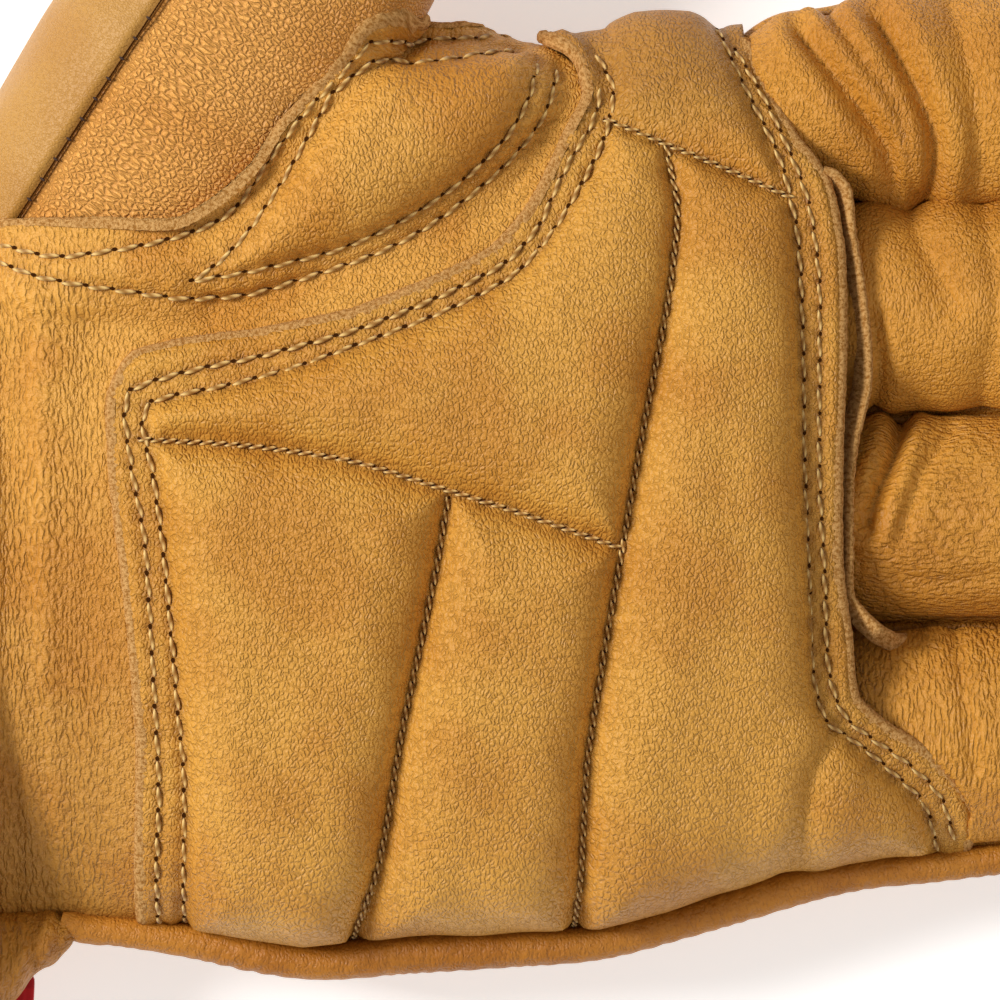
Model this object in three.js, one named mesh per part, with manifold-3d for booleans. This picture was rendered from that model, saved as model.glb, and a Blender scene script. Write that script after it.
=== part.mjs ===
// A left-hand leather winter work glove, lying on its back with the palm up, as if a hand still filled it.
// Millimetres. +X runs to the fingertips, +Y to the thumb side, +Z up out of the palm, and the floor is z = 0.
// The tables are read in the palm's own frame, whose X and Y start at the middle of the palm.
import * as THREE from "three";
import { mergeVertices } from "three/addons/utils/BufferGeometryUtils.js";
import Module from "manifold-3d";

// Leather, lining and clearances
const WALL = 2.4; // outer leather with its bonded lining
const SEAM_GAP = 0.3; // between two panels that are sewn together
const PATCH_EDGE = 1.3; // the palm patch where its border is stitched down
const PATCH_PAD = 3.6; // the palm patch over its foam
const CHANNEL_RADIUS = 2.1; // a quilting channel pressed into the foam
const CHANNEL_LIFT = 0.2; // its middle line over the foam
const WELT_RADIUS = 2.3; // the rolled leather edge along the little finger's side
const WELT_PROUD = 0.8; // its middle line stands this far outside the hand
const WELT_X = { start: -55, finger: 36 }; // where it starts, and where it passes to the little finger
const WELT_UP = 2; // its middle line lies this far over the little finger's
const WELT_ON_FINGER = [
  { share: 0.12, inward: 0.2 },
  { share: 0.3, inward: 0.2 },
  { share: 0.5, inward: 0.2 },
  { share: 0.7, inward: 0.56 },
  { share: 0.85, inward: 0.92 },
];
const RAW_STRIP = { width: 1.2, height: 3.2 }; // the raw seam allowance at the finger bases
const BINDING = { width: 9, thickness: 1.4, fold: 1.5 }; // the tape folded over the mouth of the cuff
const GUSSET_HALF = 5; // half the height of the strip between a finger's front and back
const SIDES = { hand: 26, mound: 12, finger: 12, thumb: 12 }; // facets round each form's outside
const HOLLOW_SIDES = { hand: 18, mound: 8, finger: 10, thumb: 10 }; // and round its hollow
const ROUNDNESS = 2.4; // exponent of the rounded sections, 2 being an ellipse

// Sections across the hand, from the cuff's mouth to the finger bases. ulnar is the little finger's side,
// radial the thumb's, waist the height of the widest line, sweep how far the little finger's side runs ahead.
const MOUTH = -125;
const WRIST = -62; // where the cuff is sewn to the palm and the back
const MOUTH_LIFT = BINDING.thickness + SEAM_GAP; // the binding under the cuff holds it this far off the floor
const HAND = [
  { x: MOUTH, ulnar: -67.5, radial: 51, top: 46, waist: 20, sweep: 0, lift: MOUTH_LIFT },
  { x: -104, ulnar: -66.5, radial: 47, top: 43, waist: 19, sweep: 0, lift: MOUTH_LIFT },
  { x: -86, ulnar: -66, radial: 43.5, top: 38, waist: 18, sweep: 0 },
  { x: -79, ulnar: -66, radial: 41.5, top: 35.4, waist: 17, sweep: 0 },
  { x: -74, ulnar: -66.4, radial: 41, top: 36.6, waist: 17, sweep: 0 },
  { x: -69, ulnar: -66.2, radial: 41, top: 34.4, waist: 16.5, sweep: 0 },
  { x: -64, ulnar: -64.6, radial: 41, top: 35.8, waist: 16.5, sweep: 0 },
  { x: -60.5, ulnar: -61.4, radial: 41, top: 33.4, waist: 16.5, sweep: 0 },
  { x: -57, ulnar: -57.8, radial: 41.5, top: 34.8, waist: 16.5, sweep: 0 },
  { x: -53, ulnar: -54.4, radial: 42, top: 33.4, waist: 16.5, sweep: 0 },
  { x: -45, ulnar: -54.4, radial: 42.5, top: 34, waist: 16.5, sweep: 0 },
  { x: -31, ulnar: -56.8, radial: 46, top: 34.2, waist: 16.5, sweep: 0 },
  { x: -18, ulnar: -57.8, radial: 49.5, top: 34.4, waist: 16.5, sweep: 0 },
  { x: -5, ulnar: -56.8, radial: 53, top: 34, waist: 16.5, sweep: 0.5 },
  { x: 10, ulnar: -55.4, radial: 56.5, top: 33, waist: 16, sweep: 2 },
  { x: 22, ulnar: -52, radial: 57.4, top: 31.4, waist: 15, sweep: 6 },
  { x: 32, ulnar: -48, radial: 58.6, top: 29.8, waist: 14.5, sweep: 12 },
  { x: 41.2, ulnar: -45.4, radial: 60.4, top: 28.2, waist: 14, sweep: 19.5 },
];
const SWEEP = { from: 60, over: 106 }; // the sweep grows as the square of the way from the thumb's side
const BELLY = 3; // how far the back of the hand would bulge under the floor, were it not flattened

// The ball of the thumb, a low mound that runs from the wrist to the web beside the forefinger
const MOUND = [
  { x: -60, y: 27, half: 8, top: 32.6 },
  { x: -45, y: 32, half: 12.5, top: 36 },
  { x: -30, y: 38, half: 15, top: 37.6 },
  { x: -15, y: 44, half: 14, top: 36.8 },
  { x: -3, y: 48.4, half: 10, top: 33.8 },
  { x: 5, y: 51.5, half: 5, top: 29.4 },
];
const MOUND_HEADING = THREE.MathUtils.degToRad(23);
const MOUND_WAIST = 17;
const MOUND_DEEP = 13; // how far its form reaches down into the hand

// Four fingers: y and the heading of the centre line, where it leaves the hand, where it ends, and its widths
const FINGERS = [
  { name: "index", y: 50.4, heading: 3, base: 42, tip: 119, neck: 23, wide: 26.2, narrow: 24, height: 26 },
  { name: "middle", y: 24.4, heading: 0.9, base: 44.5, tip: 130.5, neck: 26, wide: 26.4, narrow: 24.4, height: 26.6 },
  { name: "ring", y: -2.1, heading: 0.2, base: 48.5, tip: 124.5, neck: 25, wide: 25.2, narrow: 23.6, height: 26 },
  { name: "little", y: -30, heading: 1.8, base: 56, tip: 109, neck: 28.4, wide: 27.6, narrow: 23.6, height: 25 },
];
// Along a finger: share of its length, share of the width from neck to narrow, fold depth and the tip's dome
const FINGER_SHAPE = [
  { share: 0, width: "neck", fold: 0, dome: 1 },
  { share: 0.1, width: "wide", fold: 1.6, dome: 1 },
  { share: 0.18, width: "wide", fold: 0, dome: 1 },
  { share: 0.44, width: "wide", fold: 0, dome: 1 },
  { share: 0.5, width: "wide", fold: 1.7, dome: 1 },
  { share: 0.57, width: "wide", fold: 0, dome: 1 },
  { share: 0.86, width: "narrow", fold: 0, dome: 1 },
  { share: 0.96, width: "narrow", fold: 0, dome: 0.76 },
];
const FINGER_LIFT = 12.5; // how far a fingertip curls up off the floor
const FINGER_CURL = 1.8; // the exponent of that curl along the finger
const FINGER_TAPER = 0.12; // share of its height that a finger loses by its tip
const FINGER_ROOT = 16; // how far a finger's form reaches back into the hand
const FINGER_DOME = 0.9; // past this share of its length a finger closes in on its tip
const TIP_RING = 0.15; // the last ring of a fingertip, as a share of the ring before it

// The thumb, along its own axis from the ball of the thumb
const THUMB_START = new THREE.Vector3(-39.9, 51.3, 0);
const THUMB_HEADING = THREE.MathUtils.degToRad(55.7);
const THUMB = [
  { along: -36, half: 12, rise: 12, z: 17.5 },
  { along: -20, half: 18.6, rise: 15, z: 19 },
  { along: -4, half: 20.2, rise: 17, z: 21.2 },
  { along: 18, half: 20.2, rise: 17, z: 24 },
  { along: 31, half: 19, rise: 16, z: 26.2 },
  { along: 36, half: 18, rise: 14.6, z: 27 },
  { along: 42, half: 18.6, rise: 15.6, z: 28.4 },
  { along: 60, half: 17.4, rise: 14.4, z: 32.2 },
  { along: 72, half: 15, rise: 12.6, z: 35 },
  { along: 78.5, half: 10, rise: 8.8, z: 36.6 },
];
const THUMB_TIP = { along: 81, z: 37.2 };
const THUMB_DOME = 60; // past here the thumb closes in on its tip

// Lines on the palm, in X and Y. The thumb's seam starts at the wrist and ends at the web.
const THUMB_SEAM = [[-78, 40], [-70, 35], [-62.5, 32.8], [-55, 31.3], [-46, 31.9], [-37.5, 33.8],
  [-32.5, 39], [-25, 49.4], [-19.5, 55.5], [-16.7, 59.4], [-14.5, 60.4], [-9, 60.4], [0, 63], [8, 68]];
const THUMB_AROUND = [[60, 150], [-130, 150], [-130, 60]]; // closes that seam round the thumb
const THUMB_SIDE_SEAM = [[-66, 27.1], [-41.9, 62.5], [10, 138.6]]; // front and back of the thumb
const THUMB_BEHIND = [[-200, 200], [-200, 0]]; // closes that seam round the thumb's back
const THUMB_SIDE_GAP = 0.36; // that seam's gap along X, as the seam slants
const PATCH_THUMB_EDGE = [[-44.8, -40], [-44.6, -30], [-46.5, -8], [-48.1, 5.4], [-48.2, 13],
  [-45.6, 17.6], [-41.6, 18.8], [-29, 20.6], [-18, 23.1], [-6.1, 28.1], [-0.6, 31], [3.6, 35.7],
  [8.4, 44.4], [10.8, 50.5], [8.5, 55], [5, 57]];
const PATCH_OVER_SIDE = [[5, 90], [23, 90]]; // the patch runs over the thumb's side of the hand
const PATCH_FINGER_EDGE = [[23, 59], [31.4, 55], [36.7, 45.2], [40.5, 41], [42.2, 32], [42.5, 19.5],
  [42, 5.4], [42.1, -9], [43.2, -17], [44.1, -25.1], [47.5, -28], [52.9, -31.2], [57.2, -35.2],
  [59.4, -38.8], [59.6, -44.5]];
const PATCH_WELT_EDGE = [[54, -44.9], [47.6, -45.4], [34.9, -47.4], [26.9, -49.9], [20.5, -52.1], [12.5, -54.1],
  [-1.5, -54], [-11.4, -54.8], [-24.8, -56.4], [-31.1, -55], [-45.2, -52.6]];
const PAD_EDGE = [[-39.8, -51.5], [-39.5, -33], [-41, -16.2], [-42.1, -4.8], [-44.2, 11.6], [-41, 12.8],
  [-32.1, 14.5], [-18.8, 19.5], [-6.2, 26.2], [2.5, 31.2], [9.8, 38.4], [13.9, 47.4], [15, 53], [28, 53], [32, 48.5],
  [36, 39.1], [37.9, 17.6], [37.9, 6.2], [39.6, -24.8], [44.6, -30], [51.6, -35.9], [54.5, -42], [47, -43.2],
  [35, -45], [20.5, -49.8], [12.5, -51.8], [-11.4, -52.6], [-24.8, -54], [-31, -53]]; // the foam under the patch
const CHANNELS = [
  { name: "cross", points: [[-46, 8.1], [-37.5, 7.5], [-18.8, 4.8], [-6.6, 1.3], [7.5, -3.4], [15, -6]] },
  {
    name: "long",
    points: [[20.6, 44], [22, 37.4], [21, 26], [18.4, 11.6], [15, -6.1], [12, -23.4], [10.2, -39.5], [8.9, -56]],
  },
  { name: "short", points: [[-6.6, 1], [-9, -13.8], [-11.9, -26.5], [-14.5, -39], [-16.8, -49.9], [-19.3, -57]] },
  { name: "upper", points: [[9, 48.4], [20.6, 44], [28.5, 41], [40, 36.6]] },
];
const RAW_STRIP_LINE = [[43.6, 39], [44, 34.4], [45.4, 27], [46.2, 20.5], [46, 14], [44.8, 6.2], [44.8, -5.5],
  [45.4, -12.2], [47.4, -17]];
const RAW_STRIP_LOW = 25; // it bridges the hollows between the fingers at this height
const SEAM_HEIGHT = 18; // where the palm and the back are sewn together
const PATCH_LOW = 20; // the patch ends over the welt
// What is sewn into the side seam of the cuff and stands out of it, from its root in the cuff's wall
const TAG_ROOT = -34;
const TAB = { x: -63.2, long: 8, reach: -68, z: 15.5, thick: 1.4 };
const SIDE_TAPE = { x: -66.4, long: 9, reach: -70.5, z: 20, thick: 2 };
const OPEN_END = 40; // the hollow runs this far out of the mouth
const FAR = 400; // longer than the glove, for cutting
const PROBE = 0.2; // width of the rod that finds the height of a form

const wasm = await Module();
wasm.setup();

// A closed geometry as a solid for joining and cutting, and back again
function solidOf(geometry) {
  const bare = geometry.clone();
  for (const name of Object.keys(bare.attributes)) if (name !== "position") bare.deleteAttribute(name);
  const merged = mergeVertices(bare, 1e-4);
  const vertProperties = new Float32Array(merged.attributes.position.array);
  const triVerts = new Uint32Array(merged.index.array);
  return new wasm.Manifold(new wasm.Mesh({ numProp: 3, vertProperties, triVerts }));
}

function geometryOf(solid) {
  const mesh = solid.getMesh();
  const geometry = new THREE.BufferGeometry();
  geometry.setAttribute("position", new THREE.BufferAttribute(new Float32Array(mesh.vertProperties), 3));
  geometry.setIndex(new THREE.BufferAttribute(new Uint32Array(mesh.triVerts), 1));
  geometry.computeVertexNormals();
  return geometry;
}

// A closed skin through rings of equal count, with both ends filled
function loft(rings) {
  const sides = rings[0].length;
  const points = rings.flat();
  const middle = (ring) => ring.reduce((sum, p) => sum.add(p), new THREE.Vector3()).divideScalar(sides);
  points.push(middle(rings[0]), middle(rings.at(-1)));
  const index = [];
  for (let r = 0; r < rings.length - 1; r++) {
    for (let i = 0; i < sides; i++) {
      const [a, b] = [r * sides + i, r * sides + ((i + 1) % sides)];
      index.push(a, b, b + sides, a, b + sides, a + sides);
    }
  }
  const last = (rings.length - 1) * sides;
  for (let i = 0; i < sides; i++) {
    const next = (i + 1) % sides;
    index.push(points.length - 2, next, i, points.length - 1, last + i, last + next);
  }
  const geometry = new THREE.BufferGeometry().setFromPoints(points);
  geometry.setIndex(index);
  return solidOf(geometry);
}

const sidesOf = (form, offset) => (offset < 0 ? HOLLOW_SIDES : SIDES)[form];

// One ring of a rounded section: half widths and heights from a centre, flattened where it would sink in the floor
function roundedRing(sides, place, half, rise, fall, floor) {
  const ring = [];
  for (let i = 0; i < sides; i++) {
    const angle = (2 * Math.PI * i) / sides;
    const [c, s] = [Math.cos(angle), Math.sin(angle)];
    const across = half * Math.sign(c) * Math.abs(c) ** (2 / ROUNDNESS);
    const up = (s > 0 ? rise : fall) * Math.sign(s) * Math.abs(s) ** (2 / ROUNDNESS);
    const point = place(across, up);
    point.z = Math.max(point.z, floor);
    ring.push(point);
  }
  return ring;
}

// The hand from the cuff's mouth to the finger bases, grown by an offset; the hollow also opens the mouth
function hand(offset) {
  const rings = HAND.map((row, i) => {
    const middle = (row.ulnar + row.radial) / 2;
    const half = (row.radial - row.ulnar) / 2 + offset;
    const open = i === 0 && offset < 0 ? -OPEN_END : 0;
    const end = i === HAND.length - 1 ? offset : 0;
    const place = (across, up) => {
      const y = middle + across;
      const ahead = Math.max(0, (SWEEP.from - y) / SWEEP.over) ** 2;
      return new THREE.Vector3(row.x + row.sweep * ahead + open + end, y, row.waist + up);
    };
    const fall = row.waist + BELLY + offset;
    const floor = (row.lift ?? 0) - offset;
    return roundedRing(sidesOf("hand", offset), place, half, row.top - row.waist + offset, fall, floor);
  });
  return loft(rings);
}

function mound(offset) {
  const [along, side] = [Math.cos(MOUND_HEADING), Math.sin(MOUND_HEADING)];
  const rings = MOUND.map((row, i) => {
    const end = i === 0 ? -offset : i === MOUND.length - 1 ? offset : 0;
    const place = (across, up) =>
      new THREE.Vector3(row.x - across * side + end * along, row.y + across * along, MOUND_WAIST + up);
    const rise = row.top - MOUND_WAIST + offset;
    return roundedRing(sidesOf("mound", offset), place, row.half + offset, rise, MOUND_DEEP + offset, -offset);
  });
  return loft(rings);
}

// Where a finger's centre line is at a share of its length
function fingerCentre(finger, share) {
  const heading = THREE.MathUtils.degToRad(finger.heading);
  const x = finger.base + (finger.tip - finger.base) * share;
  const lift = FINGER_LIFT * Math.max(0, share) ** FINGER_CURL;
  return new THREE.Vector3(x, finger.y + (x - finger.base) * Math.tan(heading), finger.height / 2 + lift);
}

function fingerForm(finger, offset) {
  const long = finger.tip - finger.base;
  const rows = [{ share: -FINGER_ROOT / long, width: "neck", fold: 0, dome: 0.9 }, ...FINGER_SHAPE];
  const rings = rows.map((row) => {
    const centre = fingerCentre(finger, row.share);
    const slope = Math.atan((FINGER_LIFT / long) * FINGER_CURL * Math.max(0, row.share) ** (FINGER_CURL - 1));
    const half = (finger[row.width] / 2) * row.dome + offset;
    const rise = (finger.height / 2) * row.dome * (1 - FINGER_TAPER * Math.max(0, row.share)) + offset;
    const grown = row.share > FINGER_DOME ? offset : 0;
    const place = (across, up) =>
      new THREE.Vector3(centre.x + grown - up * Math.sin(slope), centre.y + across, centre.z + up * Math.cos(slope));
    return roundedRing(sidesOf("finger", offset), place, half, rise - row.fold, rise, -offset);
  });
  const tip = fingerCentre(finger, 1);
  rings.push(rings.at(-1).map((p) => new THREE.Vector3(tip.x + offset, tip.y, tip.z).lerp(p, TIP_RING)));
  return loft(rings);
}

function thumbForm(offset) {
  const [ahead, across] = [
    new THREE.Vector3(Math.cos(THUMB_HEADING), Math.sin(THUMB_HEADING), 0),
    new THREE.Vector3(Math.sin(THUMB_HEADING), -Math.cos(THUMB_HEADING), 0),
  ];
  const at = (along, z) => THUMB_START.clone().addScaledVector(ahead, along).setZ(z);
  const rings = THUMB.map((row) => {
    const centre = at(row.along + (row.along > THUMB_DOME ? offset : 0), row.z);
    const place = (wide, up) => centre.clone().addScaledVector(across, -wide).add(new THREE.Vector3(0, 0, up));
    const rise = row.rise + offset;
    return roundedRing(sidesOf("thumb", offset), place, row.half + offset, rise, rise, -offset);
  });
  const tip = at(THUMB_TIP.along + offset, THUMB_TIP.z);
  rings.push(rings.at(-1).map((p) => tip.clone().lerp(p, TIP_RING)));
  return loft(rings);
}

// Everything inside an outline seen from above
function prism(outline) {
  const shape = new THREE.Shape(outline.map(([x, y]) => new THREE.Vector2(x, y)));
  const geometry = new THREE.ExtrudeGeometry(shape, { depth: 2 * FAR, bevelEnabled: false });
  return solidOf(geometry.translate(0, 0, -FAR));
}

// Everything above a height, or above a line that rises with X
function above(heights) {
  const corners = [[-FAR, heights[0][1]], ...heights, [FAR, heights.at(-1)[1]], [FAR, FAR], [-FAR, FAR]];
  const shape = new THREE.Shape(corners.map(([x, z]) => new THREE.Vector2(x, z)));
  const geometry = new THREE.ExtrudeGeometry(shape, { depth: 2 * FAR, bevelEnabled: false });
  return solidOf(geometry.rotateX(Math.PI / 2).translate(0, FAR, 0));
}

// Everything past a plane across the glove
function past(x) {
  return solidOf(new THREE.BoxGeometry(FAR, 2 * FAR, 2 * FAR).translate(x + FAR / 2, 0, 0));
}

// A round or flat strip that follows a path
function strip(points, outline, steps) {
  const path = new THREE.CatmullRomCurve3(points);
  const shape = new THREE.Shape(outline.map(([x, y]) => new THREE.Vector2(x, y)));
  return solidOf(new THREE.ExtrudeGeometry(shape, { steps, bevelEnabled: false, extrudePath: path }));
}

const round = (radius, sides) =>
  Array.from({ length: sides }, (_, i) => {
    const angle = (2 * Math.PI * (i + 0.5)) / sides;
    return [radius * Math.cos(angle), radius * Math.sin(angle)];
  });

// The height of a solid's top at a place, found with a thin probe
function topAt(solid, x, y) {
  const probe = solidOf(new THREE.BoxGeometry(PROBE, PROBE, 2 * FAR).translate(x, y, 0));
  return solid.intersect(probe).boundingBox().max[2];
}

// A line laid on top of a solid, lifted, and never lower than a height
const onTop = (solid, line, lift, low = 0) =>
  line.map(([x, y]) => new THREE.Vector3(x, y, Math.max(low, topAt(solid, x, y)) + lift));

// The largest body of a solid that cuts have left in several
const largest = (solid) => solid.decompose().sort((a, b) => b.volume() - a.volume())[0];

// The whole outside and the whole hollow
const palmOutside = hand(0).add(mound(0));
const outside = palmOutside.add(thumbForm(0));
const hollow = hand(-WALL).add(mound(-WALL)).add(thumbForm(-WALL));
const fingerHollows = FINGERS.map((finger) => fingerForm(finger, -WALL));
const clearOfHand = hand(SEAM_GAP).add(mound(SEAM_GAP));
const fingersClear = FINGERS.map((finger) => fingerForm(finger, SEAM_GAP));
const handShell = fingerHollows.reduce((solid, inner) => solid.subtract(inner), outside.subtract(hollow));

const pieces = [];
const keep = (name, solid, material) => pieces.push({ name, solid, material });

const leather = new THREE.MeshStandardMaterial({ color: "#c08a3e", roughness: 0.62, metalness: 0 });
const suede = new THREE.MeshStandardMaterial({ color: "#b87f3d", roughness: 0.9, metalness: 0 });
const patchLeather = new THREE.MeshStandardMaterial({ color: "#c9974a", roughness: 0.55, metalness: 0 });
const rawEdge = new THREE.MeshStandardMaterial({ color: "#b98a5a", roughness: 0.95, metalness: 0 });
const webbing = new THREE.MeshStandardMaterial({ color: "#7d7468", roughness: 0.9, metalness: 0 });
const redTape = new THREE.MeshStandardMaterial({ color: "#b3202a", roughness: 0.7, metalness: 0 });

// What lies over the side seam, without and with its gap
const overSeam = above([[0, SEAM_HEIGHT + SEAM_GAP / 2]]);
const overAndSeam = above([[0, SEAM_HEIGHT - SEAM_GAP / 2]]);

// The thumb's region of the shell, with the seam's gap on its far side
const thumbRegion = (gap) => {
  const aside = gap * Math.SQRT1_2;
  const seam = THUMB_SEAM.map(([x, y]) => [x + aside, y - aside]);
  return prism([...seam, ...THUMB_AROUND]);
};
const hoop = handShell.subtract(thumbRegion(SEAM_GAP));

const cuffBand = hoop.subtract(past(WRIST - SEAM_GAP / 2));
const handBand = hoop.intersect(past(WRIST + SEAM_GAP / 2));
keep("palm_panel", handBand.intersect(overSeam), leather);
keep("back_panel", handBand.subtract(overAndSeam), leather);

// The binding is folded over the mouth, outside and inside, and the cuff stops inside its fold
const bindingCore = hand(SEAM_GAP).subtract(hand(-WALL - SEAM_GAP)).intersect(past(MOUTH + BINDING.fold));
const binding = hand(BINDING.thickness + SEAM_GAP)
  .subtract(hand(-WALL - BINDING.thickness))
  .subtract(past(MOUTH + BINDING.width))
  .subtract(bindingCore);
const cuff = cuffBand.intersect(past(MOUTH + BINDING.fold + SEAM_GAP));
keep("cuff_palm_side", cuff.intersect(overSeam), leather);
keep("cuff_back_side", cuff.subtract(overAndSeam), leather);
keep("cuff_binding", binding, leather);

// Each finger: a front, a back and the gusset that runs round the finger between them
FINGERS.forEach((finger, i) => {
  let tube = fingerForm(finger, 0).subtract(fingerHollows[i]).subtract(clearOfHand);
  if (i > 0) tube = tube.subtract(fingersClear[i - 1]);
  const line = (lift) =>
    [0, 0.5, 1].map((share) => {
      const centre = fingerCentre(finger, share);
      return [centre.x, centre.z + lift];
    });
  const gap = SEAM_GAP / 2;
  keep(`${finger.name}_front`, tube.intersect(above(line(GUSSET_HALF + gap))), leather);
  keep(`${finger.name}_back`, tube.subtract(above(line(-GUSSET_HALF - gap))), leather);
  const gusset = tube.intersect(above(line(-GUSSET_HALF + gap))).subtract(above(line(GUSSET_HALF - gap)));
  keep(`${finger.name}_gusset`, gusset, leather);
});

// The thumb: a textured front and a smooth back, sewn along the thumb's outer side
const thumbShell = handShell.intersect(thumbRegion(0));
const sideRegion = (gap) => {
  const seam = THUMB_SIDE_SEAM.map(([x, y]) => [x - gap, y]);
  return prism([...seam, ...THUMB_BEHIND]);
};
keep("thumb_front", thumbShell.subtract(sideRegion(0)), suede);
keep("thumb_back", thumbShell.intersect(sideRegion(THUMB_SIDE_GAP)), leather);

// The rolled welt, seated against the hand and the little finger's side
const little = FINGERS.at(-1);
const littleSide = ({ share, inward }) => {
  const centre = fingerCentre(little, share);
  return new THREE.Vector3(centre.x, centre.y - little.wide / 2 + inward, centre.z + WELT_UP);
};
const handSide = HAND.filter((row) => row.x > WELT_X.start && row.x < WELT_X.finger).map((row) => {
  const ahead = row.sweep * ((SWEEP.from - row.ulnar) / SWEEP.over) ** 2;
  return new THREE.Vector3(row.x + ahead, row.ulnar - WELT_PROUD, SEAM_HEIGHT);
});
const weltPath = [...handSide, ...WELT_ON_FINGER.map(littleSide)];
const rolled = (radius) => strip(weltPath, round(radius, 6), 26);
const seat = clearOfHand.add(fingersClear.at(-1));
keep("side_welt", largest(rolled(WELT_RADIUS).subtract(seat)), leather);

// The palm patch: a stitched border, a thicker padded middle, and channels pressed along the quilting
const grown = (thickness) => hand(SEAM_GAP + thickness).add(mound(SEAM_GAP + thickness));
const outline = [...PATCH_THUMB_EDGE, ...PATCH_OVER_SIDE, ...PATCH_FINGER_EDGE, ...PATCH_WELT_EDGE];
const aboveWelt = above([[0, PATCH_LOW]]);
const weltClear = rolled(WELT_RADIUS + SEAM_GAP);
const border = grown(PATCH_EDGE).intersect(prism(outline));
let pads = grown(PATCH_PAD).intersect(prism(PAD_EDGE));
for (const channel of CHANNELS) {
  const path = onTop(grown(PATCH_PAD), channel.points, CHANNEL_LIFT);
  pads = pads.subtract(strip(path, round(CHANNEL_RADIUS, 5), 6));
}
let patch = border.add(pads).subtract(grown(0)).intersect(aboveWelt).subtract(weltClear);
for (const clear of fingersClear) patch = patch.subtract(clear);
keep("palm_patch", largest(patch), patchLeather);

// The raw seam allowance that stands up where the two middle fingers are sewn on
const fingersAndPalm = FINGERS.reduce((solid, finger) => solid.add(fingerForm(finger, 0)), palmOutside);
const rawPath = onTop(fingersAndPalm, RAW_STRIP_LINE, RAW_STRIP.height / 2, RAW_STRIP_LOW);
const [tall, wide] = [RAW_STRIP.height / 2, RAW_STRIP.width / 2];
const flat = [[-tall, -wide], [tall, -wide], [tall, wide], [-tall, wide]];
let raw = strip(rawPath, flat, 10).subtract(clearOfHand).subtract(weltClear);
for (const clear of fingersClear) raw = raw.subtract(clear);
keep("finger_base_strip", largest(raw), rawEdge);

// A short striped tape and a red tab, sewn into the little finger's side of the cuff
const clearOfCuff = hand(SEAM_GAP);
const tag = ({ x, long, reach, z, thick }) => {
  const block = new THREE.BoxGeometry(long, TAG_ROOT - reach, thick).translate(x, (TAG_ROOT + reach) / 2, z);
  return solidOf(block).subtract(clearOfCuff);
};
keep("red_tab", tag(TAB), redTape);
keep("side_tape", tag(SIDE_TAPE), webbing);

const glove = new THREE.Group();
for (const { name, solid, material } of pieces) {
  const mesh = new THREE.Mesh(geometryOf(solid), material);
  mesh.name = name;
  glove.add(mesh);
}

// The glove is moved so that the origin is under the middle of its box, on the floor
const box = new THREE.Box3().setFromObject(glove);
const middle = box.getCenter(new THREE.Vector3());
glove.position.set(-middle.x, -middle.y, -box.min.z);

export default glove;
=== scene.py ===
# %% [markdown]
# # A leather winter work glove, lying palm up
# The glove is sewn from soft, grained goatskin. Its palm carries a quilted patch with foam under it, and
# every panel is held by rows of thick thread. The solids give the sizes and the places. This lesson lays
# the leather over them, in the palm's own frame: millimetres, x to the fingertips, y to the thumb side, z
# up out of the palm.

# %% Load the frame and find the palm's own origin
import math
from functools import partial

import bmesh
import bpy
import numpy as np
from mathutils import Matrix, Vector


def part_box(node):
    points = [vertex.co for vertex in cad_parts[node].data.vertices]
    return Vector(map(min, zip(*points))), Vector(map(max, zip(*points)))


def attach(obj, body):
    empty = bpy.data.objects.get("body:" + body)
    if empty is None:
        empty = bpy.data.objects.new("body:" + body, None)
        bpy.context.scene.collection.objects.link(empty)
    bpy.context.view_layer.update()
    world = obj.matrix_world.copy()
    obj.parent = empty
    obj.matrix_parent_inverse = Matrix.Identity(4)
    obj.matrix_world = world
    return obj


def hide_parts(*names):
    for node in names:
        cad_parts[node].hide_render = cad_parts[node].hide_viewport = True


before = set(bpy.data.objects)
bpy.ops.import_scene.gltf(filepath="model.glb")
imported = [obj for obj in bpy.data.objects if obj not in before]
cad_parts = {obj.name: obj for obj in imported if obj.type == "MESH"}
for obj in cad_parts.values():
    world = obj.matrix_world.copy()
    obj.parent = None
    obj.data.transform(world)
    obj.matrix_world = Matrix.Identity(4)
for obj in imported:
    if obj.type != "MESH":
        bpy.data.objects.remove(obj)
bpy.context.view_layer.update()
MM = 0.001
TAB_MIDDLE_X = -63.2
TAB_REACH_Y = -68.0
tab_low, tab_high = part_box("red_tab")
FLOOR_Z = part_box("back_panel")[0].z / MM
SHIFT = np.array([(tab_low.x + tab_high.x) / 2 / MM - TAB_MIDDLE_X, tab_low.y / MM - TAB_REACH_Y, FLOOR_Z])
print("palm frame's shift in mm:", SHIFT.round(2))

# %% [markdown]
# ## The hand's form as tables
# A glove pattern is drawn from sections across the hand. Each row is one section, and a smooth curve
# through the rows gives every section between them. A superellipse, a little squarer than an ellipse, is
# the shape of a hand in a padded glove.

# %% Sections of the hand, the ball of the thumb and the thumb
QUARTER = math.pi / 2
SQUARENESS = 2.4
ROUND = 2 / SQUARENESS
BELLY = 3.0
PALM_SECTIONS = {
    "x": [-66, -60.5, -57, -53, -45, -31, -24.75, -18, -12, -6, 0, 6, 12.5, 22, 30, 44, 62],
    "ulnar": [-54.5, -54, -53.6, -53, -52.6, -53.8, -55, -54.2, -53.6, -53, -52.8, -52.9, -52.9, -50.4, -47.6,
              -44.6, -43.4],
    "radial": [41, 41, 41.5, 42, 42.5, 46.5, 54, 60, 62.5, 61, 58.2, 56.6, 57.4, 58, 58.2, 60.6, 64.6],
    "top": [34.6, 33.6, 34.4, 33.6, 34, 34.2, 34.4, 34.4, 34.2, 34, 33.8, 33.4, 33, 31.8, 30.8, 29.2, 27.4],
    "waist": [16.5] * 10 + [16.3, 16.1, 16, 15.4, 15, 14.4, 14],
}
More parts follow.
